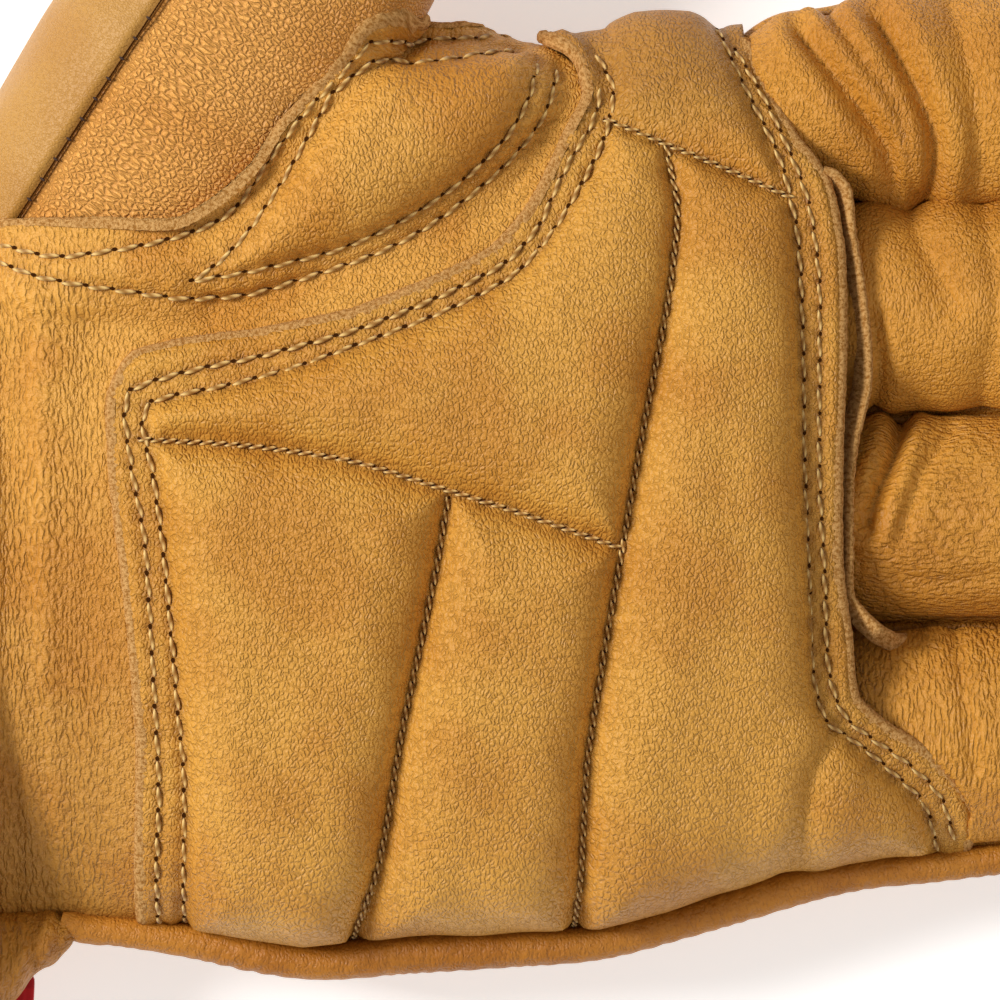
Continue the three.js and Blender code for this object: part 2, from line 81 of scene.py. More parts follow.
CUFF_SECTIONS = {
    "x": [-125, -104, -86, -79, -74, -69, -64, -60.5],
    "ulnar": [-67.5, -66.5, -66, -66, -66.4, -66.2, -64.6, -61.4],
    "radial": [51, 47, 43.5, 41.5, 41, 41, 41, 41],
    "top": [46, 43, 38, 35.4, 36.6, 34.4, 35.8, 33.6],
    "waist": [20, 19, 18, 17, 17, 16.5, 16.5, 16.5],
}
BACK_SECTIONS = {
    "x": [-62, -60.5, -57, -53, -45, -31, -18, -5, 10, 22, 32, 41.2],
    "ulnar": [-63, -61.2, -57.6, -54.4, -54.4, -56.8, -57.8, -56.8, -55.4, -52, -48, -45.4],
    "radial": [41, 41, 41.5, 42, 42.5, 46, 49.5, 53, 56.5, 57.4, 58.6, 60.4],
    "waist": [16.5] * 8 + [16, 15, 14.5, 14],
    "sweep": [0] * 7 + [0.5, 2, 6, 12, 19.5],
}
MOUND_HEADING = math.radians(23)
MOUND_FOOT = 14
MOUND = {
    "x": [-60, -45, -30, -15, -3, 5],
    "y": [27, 32, 38, 44, 48.4, 51.5],
    "half": [8, 12.5, 15, 14, 10, 5],
    "top": [32.6, 36, 37.6, 36.8, 33.8, 29.4],
}
THUMB_START = np.array([-39.9, 51.3])
THUMB_HEADING = math.radians(55.7)
THUMB = {
    "along": [-36, -20, -4, 18, 31, 36, 42, 60, 72, 78.5, 81],
    "half": [12, 18.6, 20.2, 20.2, 19, 18.2, 18.6, 17.4, 14.4, 8.6, 0.1],
    "rise": [12, 15, 17, 17, 16, 15, 15.6, 14.4, 11.8, 7.4, 0.1],
    "z": [17.5, 19, 21.2, 24, 26.2, 27, 28.4, 32.2, 35, 36.6, 37.2],
}


def curve_through(keys, values, at):
    """A smooth curve through a table's values, read at many places at once."""
    keys, values = np.asarray(keys, float), np.asarray(values, float)
    slopes = np.gradient(values, keys)
    at = np.clip(at, keys[0], keys[-1])
    i = np.clip(np.searchsorted(keys, at) - 1, 0, len(keys) - 2)
    gap = keys[i + 1] - keys[i]
    t = (at - keys[i]) / gap
    rise = values[i] * (1 + 2 * t) * (1 - t) ** 2 + values[i + 1] * t * t * (3 - 2 * t)
    return rise + gap * (slopes[i] * t * (1 - t) ** 2 - slopes[i + 1] * t * t * (1 - t))


def read_table(table, at, wanted):
    """Reads the wanted columns of a table at many places along its first column."""
    keys = next(iter(table.values()))
    return [curve_through(keys, table[column], at) for column in wanted.split()]


def signed_power(value, power):
    return np.sign(value) * np.abs(value) ** power


def arch(across):
    """The height of a superellipse, 1 at its middle and 0 at its sides."""
    return np.maximum(0, 1 - np.minimum(1, np.abs(across)) ** SQUARENESS) ** (1 / SQUARENESS)


def fade_in(value, start, over):
    """0 up to a start, then rising to 1 over a length."""
    return np.clip((value - start) / over, 0, 1)


def bell(away, width):
    """1 at no distance, fading softly to 0 past a width."""
    return np.exp(-((away / width) ** 2))


print("hand sections:", len(PALM_SECTIONS["x"]), "thumb sections:", len(THUMB["along"]))

# %% [markdown]
# ## The palm's skin, unrolled
# The patch and the palm are flat hides before they are sewn, so they are easiest to cut in a flat, unrolled
# map. Its first number is x, and its second is the length s along the section, from the middle of the palm.
# Here the section is joined with the ball of the thumb and the thumb, then measured along and stored as a
# map.

# %% Unroll the palm side
COLUMN_STEP = 0.5
S_STEP = 0.5
COLUMNS = np.arange(-66, 64.01, COLUMN_STEP)
S_LINE = np.arange(-100, 110.01, S_STEP)
ANGLES = np.linspace(0, math.pi, 361)
SKIN_BLEND = 2.5
MOUND_END_SLOPE = 1.5


def turned(x, y, heading):
    """Places measured along a heading, and to its left."""
    ahead, side = math.cos(heading), math.sin(heading)
    return x * ahead + y * side, y * ahead - x * side


mound_along, mound_middle = turned(np.array(MOUND["x"]), np.array(MOUND["y"]), MOUND_HEADING)
MOUND_ROWS = {"along": mound_along, "middle": mound_middle, "half": MOUND["half"], "top": MOUND["top"]}


def mound_height(x, y):
    along, across = turned(x, y, MOUND_HEADING)
    middle, half, top = read_table(MOUND_ROWS, along, "middle half top")
    past_end = np.maximum(0, np.maximum(mound_along[0] - along, along - mound_along[-1]))
    return MOUND_FOOT + (top - MOUND_FOOT) * arch((across - middle) / half) - past_end * MOUND_END_SLOPE


def thumb_height(x, y):
    along, across = turned(x - THUMB_START[0], y - THUMB_START[1], THUMB_HEADING)
    half, rise, z = read_table(THUMB, along, "half rise z")
    past_end = np.maximum(0, THUMB["along"][0] - along) + 2 * np.maximum(0, np.abs(across) - half)
    return z + rise * arch(across / half) - past_end


def soft_max(a, b):
    return (a + b + np.sqrt((a - b) ** 2 + SKIN_BLEND**2)) / 2


def palm_column(x):
    """One section of the palm's skin: its y and z along the map's s, and where it starts and ends."""
    ulnar, radial, top, waist = read_table(PALM_SECTIONS, x, "ulnar radial top waist")
    y = (ulnar + radial) / 2 - (radial - ulnar) / 2 * signed_power(np.cos(ANGLES), ROUND)
    z = waist + (top - waist) * np.abs(np.sin(ANGLES)) ** ROUND
    full = np.full_like(y, x)
    z = soft_max(z, mound_height(full, y))
    z = soft_max(z, thumb_height(full, y) - 1.0)
    lengths = np.concatenate([[0], np.cumsum(np.hypot(np.diff(y), np.diff(z)))])
    lengths -= np.interp(0, y, lengths)
    return np.interp(S_LINE, lengths, y), np.interp(S_LINE, lengths, z), lengths[0], lengths[-1]


MAP_Y, MAP_Z, S_ULNAR, S_RADIAL = (np.array(part) for part in zip(*map(palm_column, COLUMNS)))


def map_slope(axis, step, x_slope):
    """How the skin moves in space along one direction of the map."""
    slopes = [np.gradient(grid, step, axis=axis) for grid in (MAP_Y, MAP_Z)]
    return np.stack([np.full_like(MAP_Y, x_slope), *slopes], -1)


MAP_NORMAL = np.cross(map_slope(0, COLUMN_STEP, 1), map_slope(1, S_STEP, 0))
MAP_NORMAL /= np.maximum(np.linalg.norm(MAP_NORMAL, axis=-1, keepdims=True), 1e-9)


def read_map(grid, x, s):
    """Reads the unrolled map between its points."""
    i = np.clip((x - COLUMNS[0]) / COLUMN_STEP, 0, len(COLUMNS) - 1.001)
    j = np.clip((s - S_LINE[0]) / S_STEP, 0, len(S_LINE) - 1.001)
    i0, j0 = i.astype(int), j.astype(int)
    a, b = i - i0, j - j0
    if grid.ndim == 3:
        a, b = a[:, None], b[:, None]
    low = grid[i0, j0] * (1 - b) + grid[i0, j0 + 1] * b
    high = grid[i0 + 1, j0] * (1 - b) + grid[i0 + 1, j0 + 1] * b
    return low * (1 - a) + high * a


def unrolled(line):
    """Turns a line drawn in x and y into the unrolled map's x and s."""
    out = []
    for x, y in line:
        i = int(round((np.clip(x, COLUMNS[0], COLUMNS[-1]) - COLUMNS[0]) / COLUMN_STEP))
        keep = (S_LINE > S_ULNAR[i] - S_STEP) & (S_LINE < S_RADIAL[i] + S_STEP)
        out.append((x, np.interp(y, MAP_Y[i][keep], S_LINE[keep])))
    return np.array(out)


def on_palm(x, s, lift):
    """Places points of the unrolled map in space, lifted off the palm's skin."""
    base = np.stack([x, read_map(MAP_Y, x, s), read_map(MAP_Z, x, s)], -1)
    return base + read_map(MAP_NORMAL, x, s) * lift[:, None]


print("unrolled map:", MAP_Y.shape, "side lengths", S_ULNAR.min().round(1), S_RADIAL.max().round(1))

# %% [markdown]
# ## The lines of the pattern
# Every seam, stitch row and fold is a short line in x and y. The stitch rows hold the leather down, so the
# skin has a groove under each, and the quilting rows press the foam into separate pads.

# %% Edges, stitch rows and quilting rows
THUMB_RAW_EDGE = [
    (-66, 34.2), (-50, 34.4), (-39.6, 34.4), (-34.6, 37.4), (-30.4, 41.3), (-27.1, 46.4), (-23.5, 50.3),
    (-19.5, 55.5), (-16.8, 59.2), (-14.5, 60.3), (-11.8, 60.2), (-8, 59.2), (-3, 59.2), (1, 57.6)]
PATCH_THUMB_EDGE = [
    (-45.2, -53.4), (-45, -46), (-44.8, -40), (-44.6, -30), (-46.5, -8), (-48.1, 5.4), (-48.2, 13),
    (-45.6, 17.6), (-41.6, 18.8), (-29, 20.6), (-18, 23.1), (-6.1, 28.1), (-0.6, 31), (3.6, 35.7),
    (8.4, 44.4), (11.2, 50.5), (9.4, 54.6), (5.6, 57)]
PATCH_FINGER_EDGE = [
    (31, 57), (31.6, 54.6), (36.7, 45.2), (40.5, 40), (42.2, 32), (42.5, 19.5), (42, 5.4), (42.1, -9),
    (43.2, -17), (44.3, -25.1), (47.5, -28), (52.9, -31.4), (57.2, -35.4), (59.4, -38.8), (58.6, -44.6)]
PATCH_WELT_EDGE = [
    (47.6, -45.4), (34.9, -47.4), (26.9, -49.9), (20.5, -52.1), (12.5, -54.1), (-1.5, -54.4),
    (-11.4, -54.9), (-24.8, -56.2), (-31.1, -55.2), (-40, -53.8)]
PATCH_OUTER_ROW = [
    (-43.1, -53), (-43.1, -46.4), (-42.6, -36.3), (-43, -25.8), (-43.6, -14.3), (-44.4, -3.8),
    (-46, 5), (-46.2, 13.4), (-43.4, 14.6), (-36.8, 16.3), (-30.8, 17.5), (-17.3, 21.3), (-5.3, 26.3),
    (0.8, 29.6), (5.2, 34.7), (6.6, 38), (9, 42.4), (12, 47.6), (12.6, 51)]
PATCH_INNER_ROW = [
    (-39.8, -52.6), (-39.5, -33), (-40.2, -25.8), (-41, -16.2), (-42.1, -4.8), (-43.1, 2.5),
    (-44.2, 11.8), (-41, 12.8), (-34.9, 13.9), (-24.9, 16.6), (-18.8, 18.9), (-6.2, 23.8), (2, 28.2),
    (6.8, 33.6), (9.8, 38.4), (13.3, 45.5), (14.2, 51.4), (12, 55)]
FINGER_INNER_ROW = [
    (27.4, 57.6), (32.1, 48.5), (35, 42.4), (37, 34.1), (37.8, 17.6), (37.9, 6.3), (38.5, -9),
    (39.6, -24.8), (40.6, -27.4), (44.6, -30), (49.3, -33.8), (53.3, -37.4), (55.4, -43.1)]
FINGER_OUTER_ROW = [
    (29.6, 55.8), (33.1, 50), (36, 43.9), (38.5, 37.4), (39.8, 28.4), (39.8, 14.1), (39.8, 1.8),
    (40.4, -9), (41.4, -23.4), (42.7, -26.6), (46.1, -29.3), (50.8, -32.4), (55.4, -36.6), (57.4, -42)]
THUMB_OUTER_ROW = [
    (-66, 32.6), (-58.9, 30.8), (-56, 30.3), (-49.1, 31), (-43, 32), (-37.4, 33.6), (-34.1, 35.2),
    (-28.4, 43), (-23.5, 49.1), (-19.6, 54), (-16.4, 57.4), (-13.4, 57.6), (-8.1, 57.5), (-1, 58)]
THUMB_INNER_ROW = [
    (-38.5, 27.6), (-34.9, 29.9), (-31.4, 33.3), (-27.6, 38.8), (-23.8, 45.6), (-20.4, 51.4),
    (-16.3, 55.2), (-10.4, 54.3), (-6.8, 54.9), (2, 56)]
BALL_OUTER_ROW = [
    (-38.5, 27.6), (-31.3, 29.1), (-20.4, 31.6), (-14.4, 34.4), (-9.4, 37.1), (-5.3, 40), (0.9, 46.5),
    (3.5, 50.8), (4.6, 54.4)]
BALL_INNER_ROW = [
    (-66, 31.4), (-58, 28), (-51.1, 26.9), (-38.3, 25.6), (-31.5, 26), (-25.6, 27.5), (-14, 31.5),
    (-8.5, 34.6), (-0.9, 40.9), (4.8, 47.8), (7, 54)]
QUILT_ROWS = [
    [(-45, 7.5), (-30.4, 6.6), (-18.6, 4.9), (-7.1, 1.4), (2.4, -1.6), (15, -6)],
    [(20.6, 44), (22, 36.6), (21, 26.3), (18, 10.8), (15, -6.1), (12.8, -19), (10.8, -32.4), (10, -47.4),
     (9.3, -53.6)],
    [(-6.5, 0.4), (-8.1, -9), (-12.4, -28.9), (-15.6, -45.8), (-19, -54.8)],
    [(13, 47.1), (20.6, 44), (28.5, 41), (36.8, 37.4)],
]
PATCH_ROWS = [PATCH_OUTER_ROW, PATCH_INNER_ROW, FINGER_INNER_ROW, FINGER_OUTER_ROW] + QUILT_ROWS
PALM_ROWS = [THUMB_OUTER_ROW, THUMB_INNER_ROW, BALL_OUTER_ROW, BALL_INNER_ROW]
LINE_STEP = 0.6
CORNERS_KEPT = 0.35


def run_along(points):
    """The length from a line's start to each of its points."""
    return np.concatenate([[0], np.cumsum(np.linalg.norm(np.diff(points, axis=0), axis=1))])


def smooth_line(line, step=LINE_STEP):
    """A line through a few points, rounded where it turns and evenly stepped."""
    points = np.asarray(line, float)
    keys = run_along(points)
    at = np.linspace(0, keys[-1], max(3, int(keys[-1] / step)))
    straight = np.stack([np.interp(at, keys, column) for column in points.T], -1)
    curved = np.stack([curve_through(keys, column, at) for column in points.T], -1)
    return straight * CORNERS_KEPT + curved * (1 - CORNERS_KEPT)


def along_segments(line, x, y):
    """For each segment of a line: its length, how far along it every place is, and how far away."""
    points = np.asarray(line, float)
    for a, b in zip(points[:-1], points[1:]):
        d = b - a
        t = np.clip(((x - a[0]) * d[0] + (y - a[1]) * d[1]) / max(d @ d, 1e-9), 0, 1)
        yield np.linalg.norm(d), t, np.hypot(x - a[0] - t * d[0], y - a[1] - t * d[1])


def distance_to(lines, x, y):
    """The distance from many places to the nearest of some lines."""
    nearest = np.full(x.shape, 1e9)
    for line in lines:
        for _, _, away in along_segments(line, x, y):
            nearest = np.minimum(nearest, away)
    return nearest


def inside(outline, x, y):
    """True where a place lies inside a closed outline."""
    points = np.asarray(outline, float)
    within = np.zeros(x.shape, bool)
    for (x0, y0), (x1, y1) in zip(points, np.roll(points, -1, axis=0)):
        if y0 == y1:
            continue
        crossing = (y0 > y) != (y1 > y)
        within ^= crossing & (x < (x1 - x0) * (y - y0) / (y1 - y0) + x0)
    return within


stitched = sum(len(smooth_line(row)) for row in PATCH_ROWS + PALM_ROWS) * LINE_STEP
print("stitch rows on the palm:", len(PATCH_ROWS + PALM_ROWS), "length in mm:", round(stitched))

# %% [markdown]
# ## One helper that cuts a sheet, and one that puts a piece on the glove
# bmesh's grid is the start of every leather panel. For the palm, the grid is laid in the unrolled map, what
# lies outside the pattern piece is deleted, and the border is pulled onto the cut line. A wrapped panel,
# such as a finger's front, is a grid whose two directions run along and round a form. Solidify then gives
# the wall.

# %% Helpers for panels
LEATHER = 1.2
GRID_STEP = 0.62
BORDER_STEP = 0.1
NORMAL_STEP = 1e-4
WAVES = 6
HIDE_WAVES = 0.3


def add_object(name, mesh, material):
    mesh.materials.append(material)
    thing = bpy.data.objects.new(name, mesh)
    bpy.context.scene.collection.objects.link(thing)
    return thing


def sew_on(name, mesh, material, node=None):
    """Puts a mesh on the glove's one body, in the place of its node where it has one."""
    piece = add_object(name, mesh, material)
    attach(piece, "root")
    if node:
        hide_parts(node)
    print(f"{name}: {len(mesh.vertices)} points, {len(mesh.polygons)} faces")
    return piece


def store_hide(mesh, hide):
    """Stores the hide's own coordinates in millimetres, and turns on smooth shading."""
    corner = np.zeros(len(mesh.loops), np.int32)
    mesh.loops.foreach_get("vertex_index", corner)
    mesh.uv_layers.new(name="hide").data.foreach_set("uv", hide[corner].astype(np.float32).ravel())
    mesh.polygons.foreach_set("use_smooth", np.ones(len(mesh.polygons), bool))


def finish_piece(name, bm, points, hide, creases, material, node=None, wall=LEATHER):
    """Moves a grid to its place. creases are how much it is creased across, creased along, and darkened."""
    mesh = bpy.data.meshes.new(name)
    bm.to_mesh(mesh)
    bm.free()
    mesh.vertices.foreach_set("co", ((points + SHIFT) * MM).astype(np.float32).ravel())
    store_hide(mesh, np.stack(hide, -1))
    paint = mesh.attributes.new("creases", "FLOAT_COLOR", "POINT")
    amounts = np.stack([np.broadcast_to(amount, len(points)) for amount in (*creases, 0.0)], -1)
    paint.data.foreach_set("color", amounts.astype(np.float32).ravel())
    mesh.update()
    piece = sew_on(name, mesh, material, node)
    if wall:
        solid = piece.modifiers.new("leather thickness", "SOLIDIFY")
        solid.thickness = wall * MM
        solid.offset = -1
    return piece


def grid_places(bm):
    """How far along and across a grid each of its points lies, from 0 to 1."""
    co = np.array([vert.co[:2] for vert in bm.verts])
    return (co[:, 0] + 1) / 2, (co[:, 1] + 1) / 2


def grid_mesh(columns, rows):
    bm = bmesh.new()
    bmesh.ops.create_grid(bm, x_segments=columns, y_segments=rows, size=1)
    return bm, *grid_places(bm)


def cut_grid(outline):
    """A grid over a closed outline in the unrolled map, trimmed and pulled to the cut line."""
    outline = np.asarray(outline)
    low, high = outline.min(0) - GRID_STEP, outline.max(0) + GRID_STEP
    span = high - low
    bm, u, v = grid_mesh(*(int(n) for n in np.ceil(span / GRID_STEP)))
    keep = inside(outline, low[0] + u * span[0], low[1] + v * span[1])
    outer = [vert for vert, kept in zip(bm.verts, keep) if not kept]
    bmesh.ops.delete(bm, geom=outer, context="VERTS")
    loose = [vert for vert in bm.verts if not vert.link_faces]
    bmesh.ops.delete(bm, geom=loose, context="VERTS")
    u, v = grid_places(bm)
    x, s = low[0] + u * span[0], low[1] + v * span[1]
    border = np.array([vert.is_boundary for vert in bm.verts])
    sides = zip(outline, np.roll(outline, -1, axis=0))
    counts_and_sides = [(max(2, int(np.linalg.norm(b - a) / BORDER_STEP)), a, b) for a, b in sides]
    fine = np.vstack([np.linspace(a, b, count) for count, a, b in counts_and_sides])
    nearest = [np.argmin(((fine - place) ** 2).sum(1)) for place in np.stack([x[border], s[border]], -1)]
    x[border], s[border] = fine[nearest, 0], fine[nearest, 1]
    return bm, x, s


def surface_normals(place, u, v):
    """Normals of a form by small steps along it and round it."""
    along = place(u + NORMAL_STEP, v) - place(u - NORMAL_STEP, v)
    round_it = place(u, v + NORMAL_STEP) - place(u, v - NORMAL_STEP)
    normal = np.cross(along, round_it)
    return normal / np.maximum(np.linalg.norm(normal, axis=1, keepdims=True), 1e-12)


def wobble(x, y, size, seed):
    """A soft, repeatable unevenness between -1 and 1, for folds and cut edges."""
    rng = np.random.RandomState(seed)
    total = np.zeros(np.shape(x))
    for _ in range(WAVES):
        angle, phase, stretch = rng.uniform(0, math.tau), rng.uniform(0, math.tau), rng.uniform(0.7, 1.6)
        wave = (np.cos(angle) * x + np.sin(angle) * y) * math.tau / (size * stretch)
        total += np.sin(wave + phase)
    return total / WAVES


print("panel helpers ready, leather thickness", LEATHER, "mm")

# %% [markdown]
# ## Leather as a material
# The glove is drum-dyed goatskin, a full-grain leather with a satin finish. Its grain is a net of small
# cells about half a millimetre wide with valleys between them, which are darkened with painted shade. Where
# the hide bends, the cells are squeezed into long fine creases. The colour attribute says how much, red for
# creases that run across the hand and green for those that run along it. Blue darkens the dye: painted shade
# in the grooves beside the threads, near the welt, on the patch's upper side and at the palm's heel, and a
# darker dye along the thumb's and fingers' seams and at the roll's end.

# %% Node helper and the leather
def linear(hex_colour):
    """An sRGB hex colour as linear values."""
    channels = [int(hex_colour[i : i + 2], 16) / 255 for i in (1, 3, 5)]
    return (*[c / 12.92 if c <= 0.04045 else ((c + 0.055) / 1.055) ** 2.4 for c in channels], 1)


def add_node(tree, kind, inputs=None, **settings):
    """Adds a node with its settings, its values and its links, and gives back its outputs."""
    node = tree.nodes.new(f"ShaderNode{kind}")
    for key, value in settings.items():
        setattr(node, key, value)
    for key, value in (inputs or {}).items():
        if isinstance(value, bpy.types.NodeSocket):
            tree.links.new(value, node.inputs[key])
        else:
            node.inputs[key].default_value = value
    return node.outputs


def new_material(name, roughness, specular, sheen=0.0, colour="#ffffff"):
    """Starts a material, with what is the same all over it. Gives it with its shader and its node helper."""
    material = bpy.data.materials.new(name)
    material.use_nodes = True
    shader = material.node_tree.nodes["Principled BSDF"]
    shader.inputs["Base Color"].default_value = linear(colour)
    shader.inputs["Roughness"].default_value = roughness
    shader.inputs["Specular IOR Level"].default_value = specular
    shader.inputs["Sheen Weight"].default_value = sheen
    return material, shader, partial(add_node, material.node_tree)


def link_surface(node, shader, colour, height, strength, depth):
    """Links a colour, and a relief with a real depth in millimetres, to the shader."""
    relief = node("Bump", {"Strength": strength, "Distance": depth * MM, "Height": height})[0]
    shader.id_data.links.new(colour, shader.inputs["Base Color"])
    shader.id_data.links.new(relief, shader.inputs["Normal"])


SQUEEZES = [(1, 0.75, 1), (0.8, 0.22, 1), (0.22, 0.8, 1)]
VALLEY_SHADE_COLOUR = "#8a5420"
DARKENING_COLOUR = "#6c340a"


def goatskin(name, light, dark, grain=0.56, depth=0.33, roughness=0.44, pebble_shade=0.0, even=0.4):
    """Drum-dyed goatskin: a net of grain cells with painted shade in their valleys, creases where it bends, a
    cloudy dye, and the darkening that the blue of the creases attribute asks for.
    """
    material, shader, node = new_material(name, roughness, 0.32)
    hide = node("UVMap", uv_map="hide")[0]
    across_it, along_it, darkening = node("SeparateColor", {0: node("Attribute", attribute_name="creases")[0]})
    warp, patches, pores, clouds = (
        node("TexNoise", {"Vector": hide, "Scale": scale, "Detail": detail}, noise_dimensions="2D")
        for scale, detail in ((0.5 / grain, 2.0), (0.6 / grain, 2.0), (2.6 / grain, 3.0), (0.05, 4.0))
    )
    sway = (grain * 1.1, grain * 1.1, 0)
    bent = node("VectorMath", {0: warp["Color"], 1: sway, 2: hide}, operation="MULTIPLY_ADD")[0]
    nets = []
    for squeeze in SQUEEZES:
        long = node("VectorMath", {0: bent, 1: squeeze}, operation="MULTIPLY")[0]
        cells = node("TexVoronoi", {"Vector": long, "Scale": 1 / grain},
                     voronoi_dimensions="2D", feature="DISTANCE_TO_EDGE")["Distance"]
        nets.append(node("MapRange", {0: cells, 1: 0.0, 2: 0.36}, interpolation_type="SMOOTHSTEP")[0])
    grained = node("Mix", {0: across_it, 2: nets[0], 3: nets[1]})[0]
    grained = node("Mix", {0: along_it, 2: grained, 3: nets[2]})[0]
    between = {0: patches["Fac"], 1: 0.36, 2: 0.6, 3: even, 4: 1.0}
    broken = node("MapRange", between, interpolation_type="SMOOTHSTEP")[0]
    sunk = node("Math", {0: 1.0, 1: grained}, operation="SUBTRACT")[0]
    valley = node("Math", {0: sunk, 1: broken}, operation="MULTIPLY")[0]
    folded = node("Math", {0: across_it, 1: along_it}, operation="MAXIMUM")[0]
    squeezed = node("Math", {0: folded, 1: 0.4, 2: 1.0}, operation="MULTIPLY_ADD")[0]
    deep = node("Math", {0: valley, 1: squeezed}, operation="MULTIPLY")[0]
    porous = node("Math", {0: pores["Fac"], 1: 0.5}, operation="MULTIPLY")[0]
    height = node("Math", {0: porous, 1: deep}, operation="SUBTRACT")[0]
    cloudy = node("MapRange", {0: clouds["Fac"], 1: 0.38, 2: 0.66}, interpolation_type="SMOOTHSTEP")[0]
    dye = node("Mix", {0: cloudy, 6: linear(light), 7: linear(dark)}, data_type="RGBA")[2]
    # Painted shade: the grain's valleys are darkened in the colour, more where the hide is creased, and more
    # on the pebbled hide.
    shade = node("Math", {0: deep, 1: 0.16 + pebble_shade}, operation="MULTIPLY")[0]
    valley_shade_mix = {0: shade, 6: dye, 7: linear(VALLEY_SHADE_COLOUR)}
    shaded = node("Mix", valley_shade_mix, data_type="RGBA", blend_type="MULTIPLY")[2]
    # The creases attribute's blue darkens the colour: painted shade in grooves and hollows, and darker seams.
    darkening_share = node("Math", {0: darkening, 1: 0.8}, operation="MULTIPLY")[0]
    darkened = node("Mix", {0: darkening_share, 6: shaded, 7: linear(DARKENING_COLOUR)}, data_type="RGBA")[2]
    link_surface(node, shader, darkened, height, strength=0.8, depth=depth)
    return material


PALM_HIDE = goatskin("goatskin, palm", "#dfa246", "#cf8d34", depth=0.3)
PATCH_HIDE = goatskin("goatskin, patch", "#d99e42", "#cb8c34", depth=0.26, roughness=0.41)
FINGER_HIDE = goatskin("goatskin, fingers", "#d69537", "#c6842c")
BACK_HIDE = goatskin("goatskin, back of the hand", "#c98a2f", "#ba7a27")
CUFF_HIDE = goatskin("goatskin, cuff", "#c6872e", "#b57526")
WELT_HIDE = goatskin("goatskin, rolled welt", "#bf7d29", "#ab6a1c", grain=0.5, depth=0.12)
THUMB_HIDE = goatskin("goatskin, smooth thumb side", "#bb8a41", "#b48138", grain=0.36, depth=0.06)
PEBBLED_HIDE = goatskin("pebbled goatskin, thumb front", "#f0ad56", "#e6a04a",
                        grain=0.58, depth=0.42, pebble_shade=0.14, even=1.0)
print("leathers:", sum("goatskin" in m.name for m in bpy.data.materials))

# %% [markdown]
# ## Heights on the palm
# Foam lifts the patch between its quilting rows, and each pad is crowned: steep beside the thread and
# nearly flat in its middle. Every stitch row presses a groove, deepest at each needle hole. Folds are
# grooves of their own. All of it could be sculpted, but written as heights it can be added up, and the
# thread can be laid on it later.

# %% Grooves, pads and folds
STITCH_PITCH = 3.4
HOLE_SHARE = 0.38
PAD_HEIGHT = 4.3
PAD_RAMP = 8.0
PAD_CROWN = 0.62
PATCH_LIFT = 2.3
GROOVE_HALF = 0.5
GROOVE = {"depth": 0.8, "width": 1.25}
FOLD_LIP = {"height": 0.4, "away": 2.6, "width": 1.6}
FOLD_SHARPNESS = 1.2
PAD_THINNING = {"share": 0.4, "from_y": 12, "over": 26}
EDGE_STEP = 0.8
PAD_AREA = [
    (-39.8, -53), (-39.5, -33), (-41, -16.2), (-42.1, -4.8), (-44.2, 11.8), (-34.9, 13.9), (-18.8, 18.9),
    (-6.2, 23.8), (2, 28.2), (9.8, 38.4), (13.3, 45.5), (14.2, 51.4), (12, 62), (27, 62), (32.1, 48.5),
    (37, 34.1), (37.9, 6.3), (39.6, -24.8), (44.6, -30), (53.3, -37.4), (55.4, -43.1), (47, -44.4),
    (35, -46), (20.5, -51), (12.5, -53), (-11.4, -53.8), (-24.8, -55.2), (-31, -54.2)]
PALM_FOLDS = [
    {"line": [(-66, 26), (-61, 4), (-58, -20), (-57, -44)], "width": 3.4, "depth": 0.7},
    {"line": [(-36, 24), (-22, 27), (-8, 32), (0, 37.5), (5.5, 45)], "width": 1.6, "depth": 0.7},
    {"line": [(-15, 45), (-9, 51), (-6, 54)], "width": 2.2, "depth": 0.35},
]
PATCH_FOLDS = [
    {"line": [(40.5, -29.8), (38.4, -33.3), (37.4, -37.8), (36.6, -42.4)], "width": 1.6, "depth": 1.1},
    {"line": [(12, 40), (17, 41.6), (21, 40.4)], "width": 1.2, "depth": 0.5},
    {"line": [(-30, 18.5), (-25, 13.5), (-15, 11.5)], "width": 1.6, "depth": 0.35},
]


def row_grooves(rows, x, y, depth=1.0, width=1.0):
    """A groove under each stitch row, deepest at the needle holes."""
    total = np.zeros(x.shape)
    for row in rows:
        best, where = np.full(x.shape, 1e9), np.zeros(x.shape)
        run = 0.0
        for long, t, away in along_segments(smooth_line(row, EDGE_STEP), x, y):
            nearer = away < best
            best[nearer] = away[nearer]
            where[nearer] = (run + t * long)[nearer]
            run += long
        holes = 0.5 + 0.5 * np.cos(math.tau * where / STITCH_PITCH)
        total = np.maximum(total, bell(best, width) * (1 - HOLE_SHARE + HOLE_SHARE * holes))
    return total * depth


def fold_depths(folds, x, y):
    """Creases pressed into the hide, which push up a soft lip beside them."""
    total = np.zeros(x.shape)
    for fold in folds:
        away, width = distance_to([smooth_line(fold["line"], 1.0)], x, y), fold["width"]
        lip = FOLD_LIP["height"] * bell(away - FOLD_LIP["away"] * width, FOLD_LIP["width"] * width)
        total += fold["depth"] * (np.exp(-((away / width) ** FOLD_SHARPNESS)) - lip)
    return total


def pad_heights(x, y):
    """The foam's height: steep beside the quilting, crowned, and thinner towards the thumb."""
    away = distance_to([smooth_line(row, 1.5) for row in QUILT_ROWS] + [PAD_AREA + PAD_AREA[:1]], x, y)
    crown = np.sin(fade_in(away, GROOVE_HALF, PAD_RAMP) * QUARTER) ** PAD_CROWN
    thinner = 1 - PAD_THINNING["share"] * fade_in(y, PAD_THINNING["from_y"], PAD_THINNING["over"])
    return np.where(inside(PAD_AREA, x, y), PAD_HEIGHT * crown * thinner, 0.0)


print("pads:", PAD_HEIGHT, "mm high, folds:", len(PALM_FOLDS) + len(PATCH_FOLDS))

# %% [markdown]
# ## The palm patch
# The patch is one hide, quilted to a foam sheet and sewn down with two rows of thread round its edge. It is
# cut as a grid in the unrolled map, lifted off the palm by its own thickness, and raised over the foam. A
# cloth run could puff it too, but the rows' places are known here, so the heights give crisper pads.

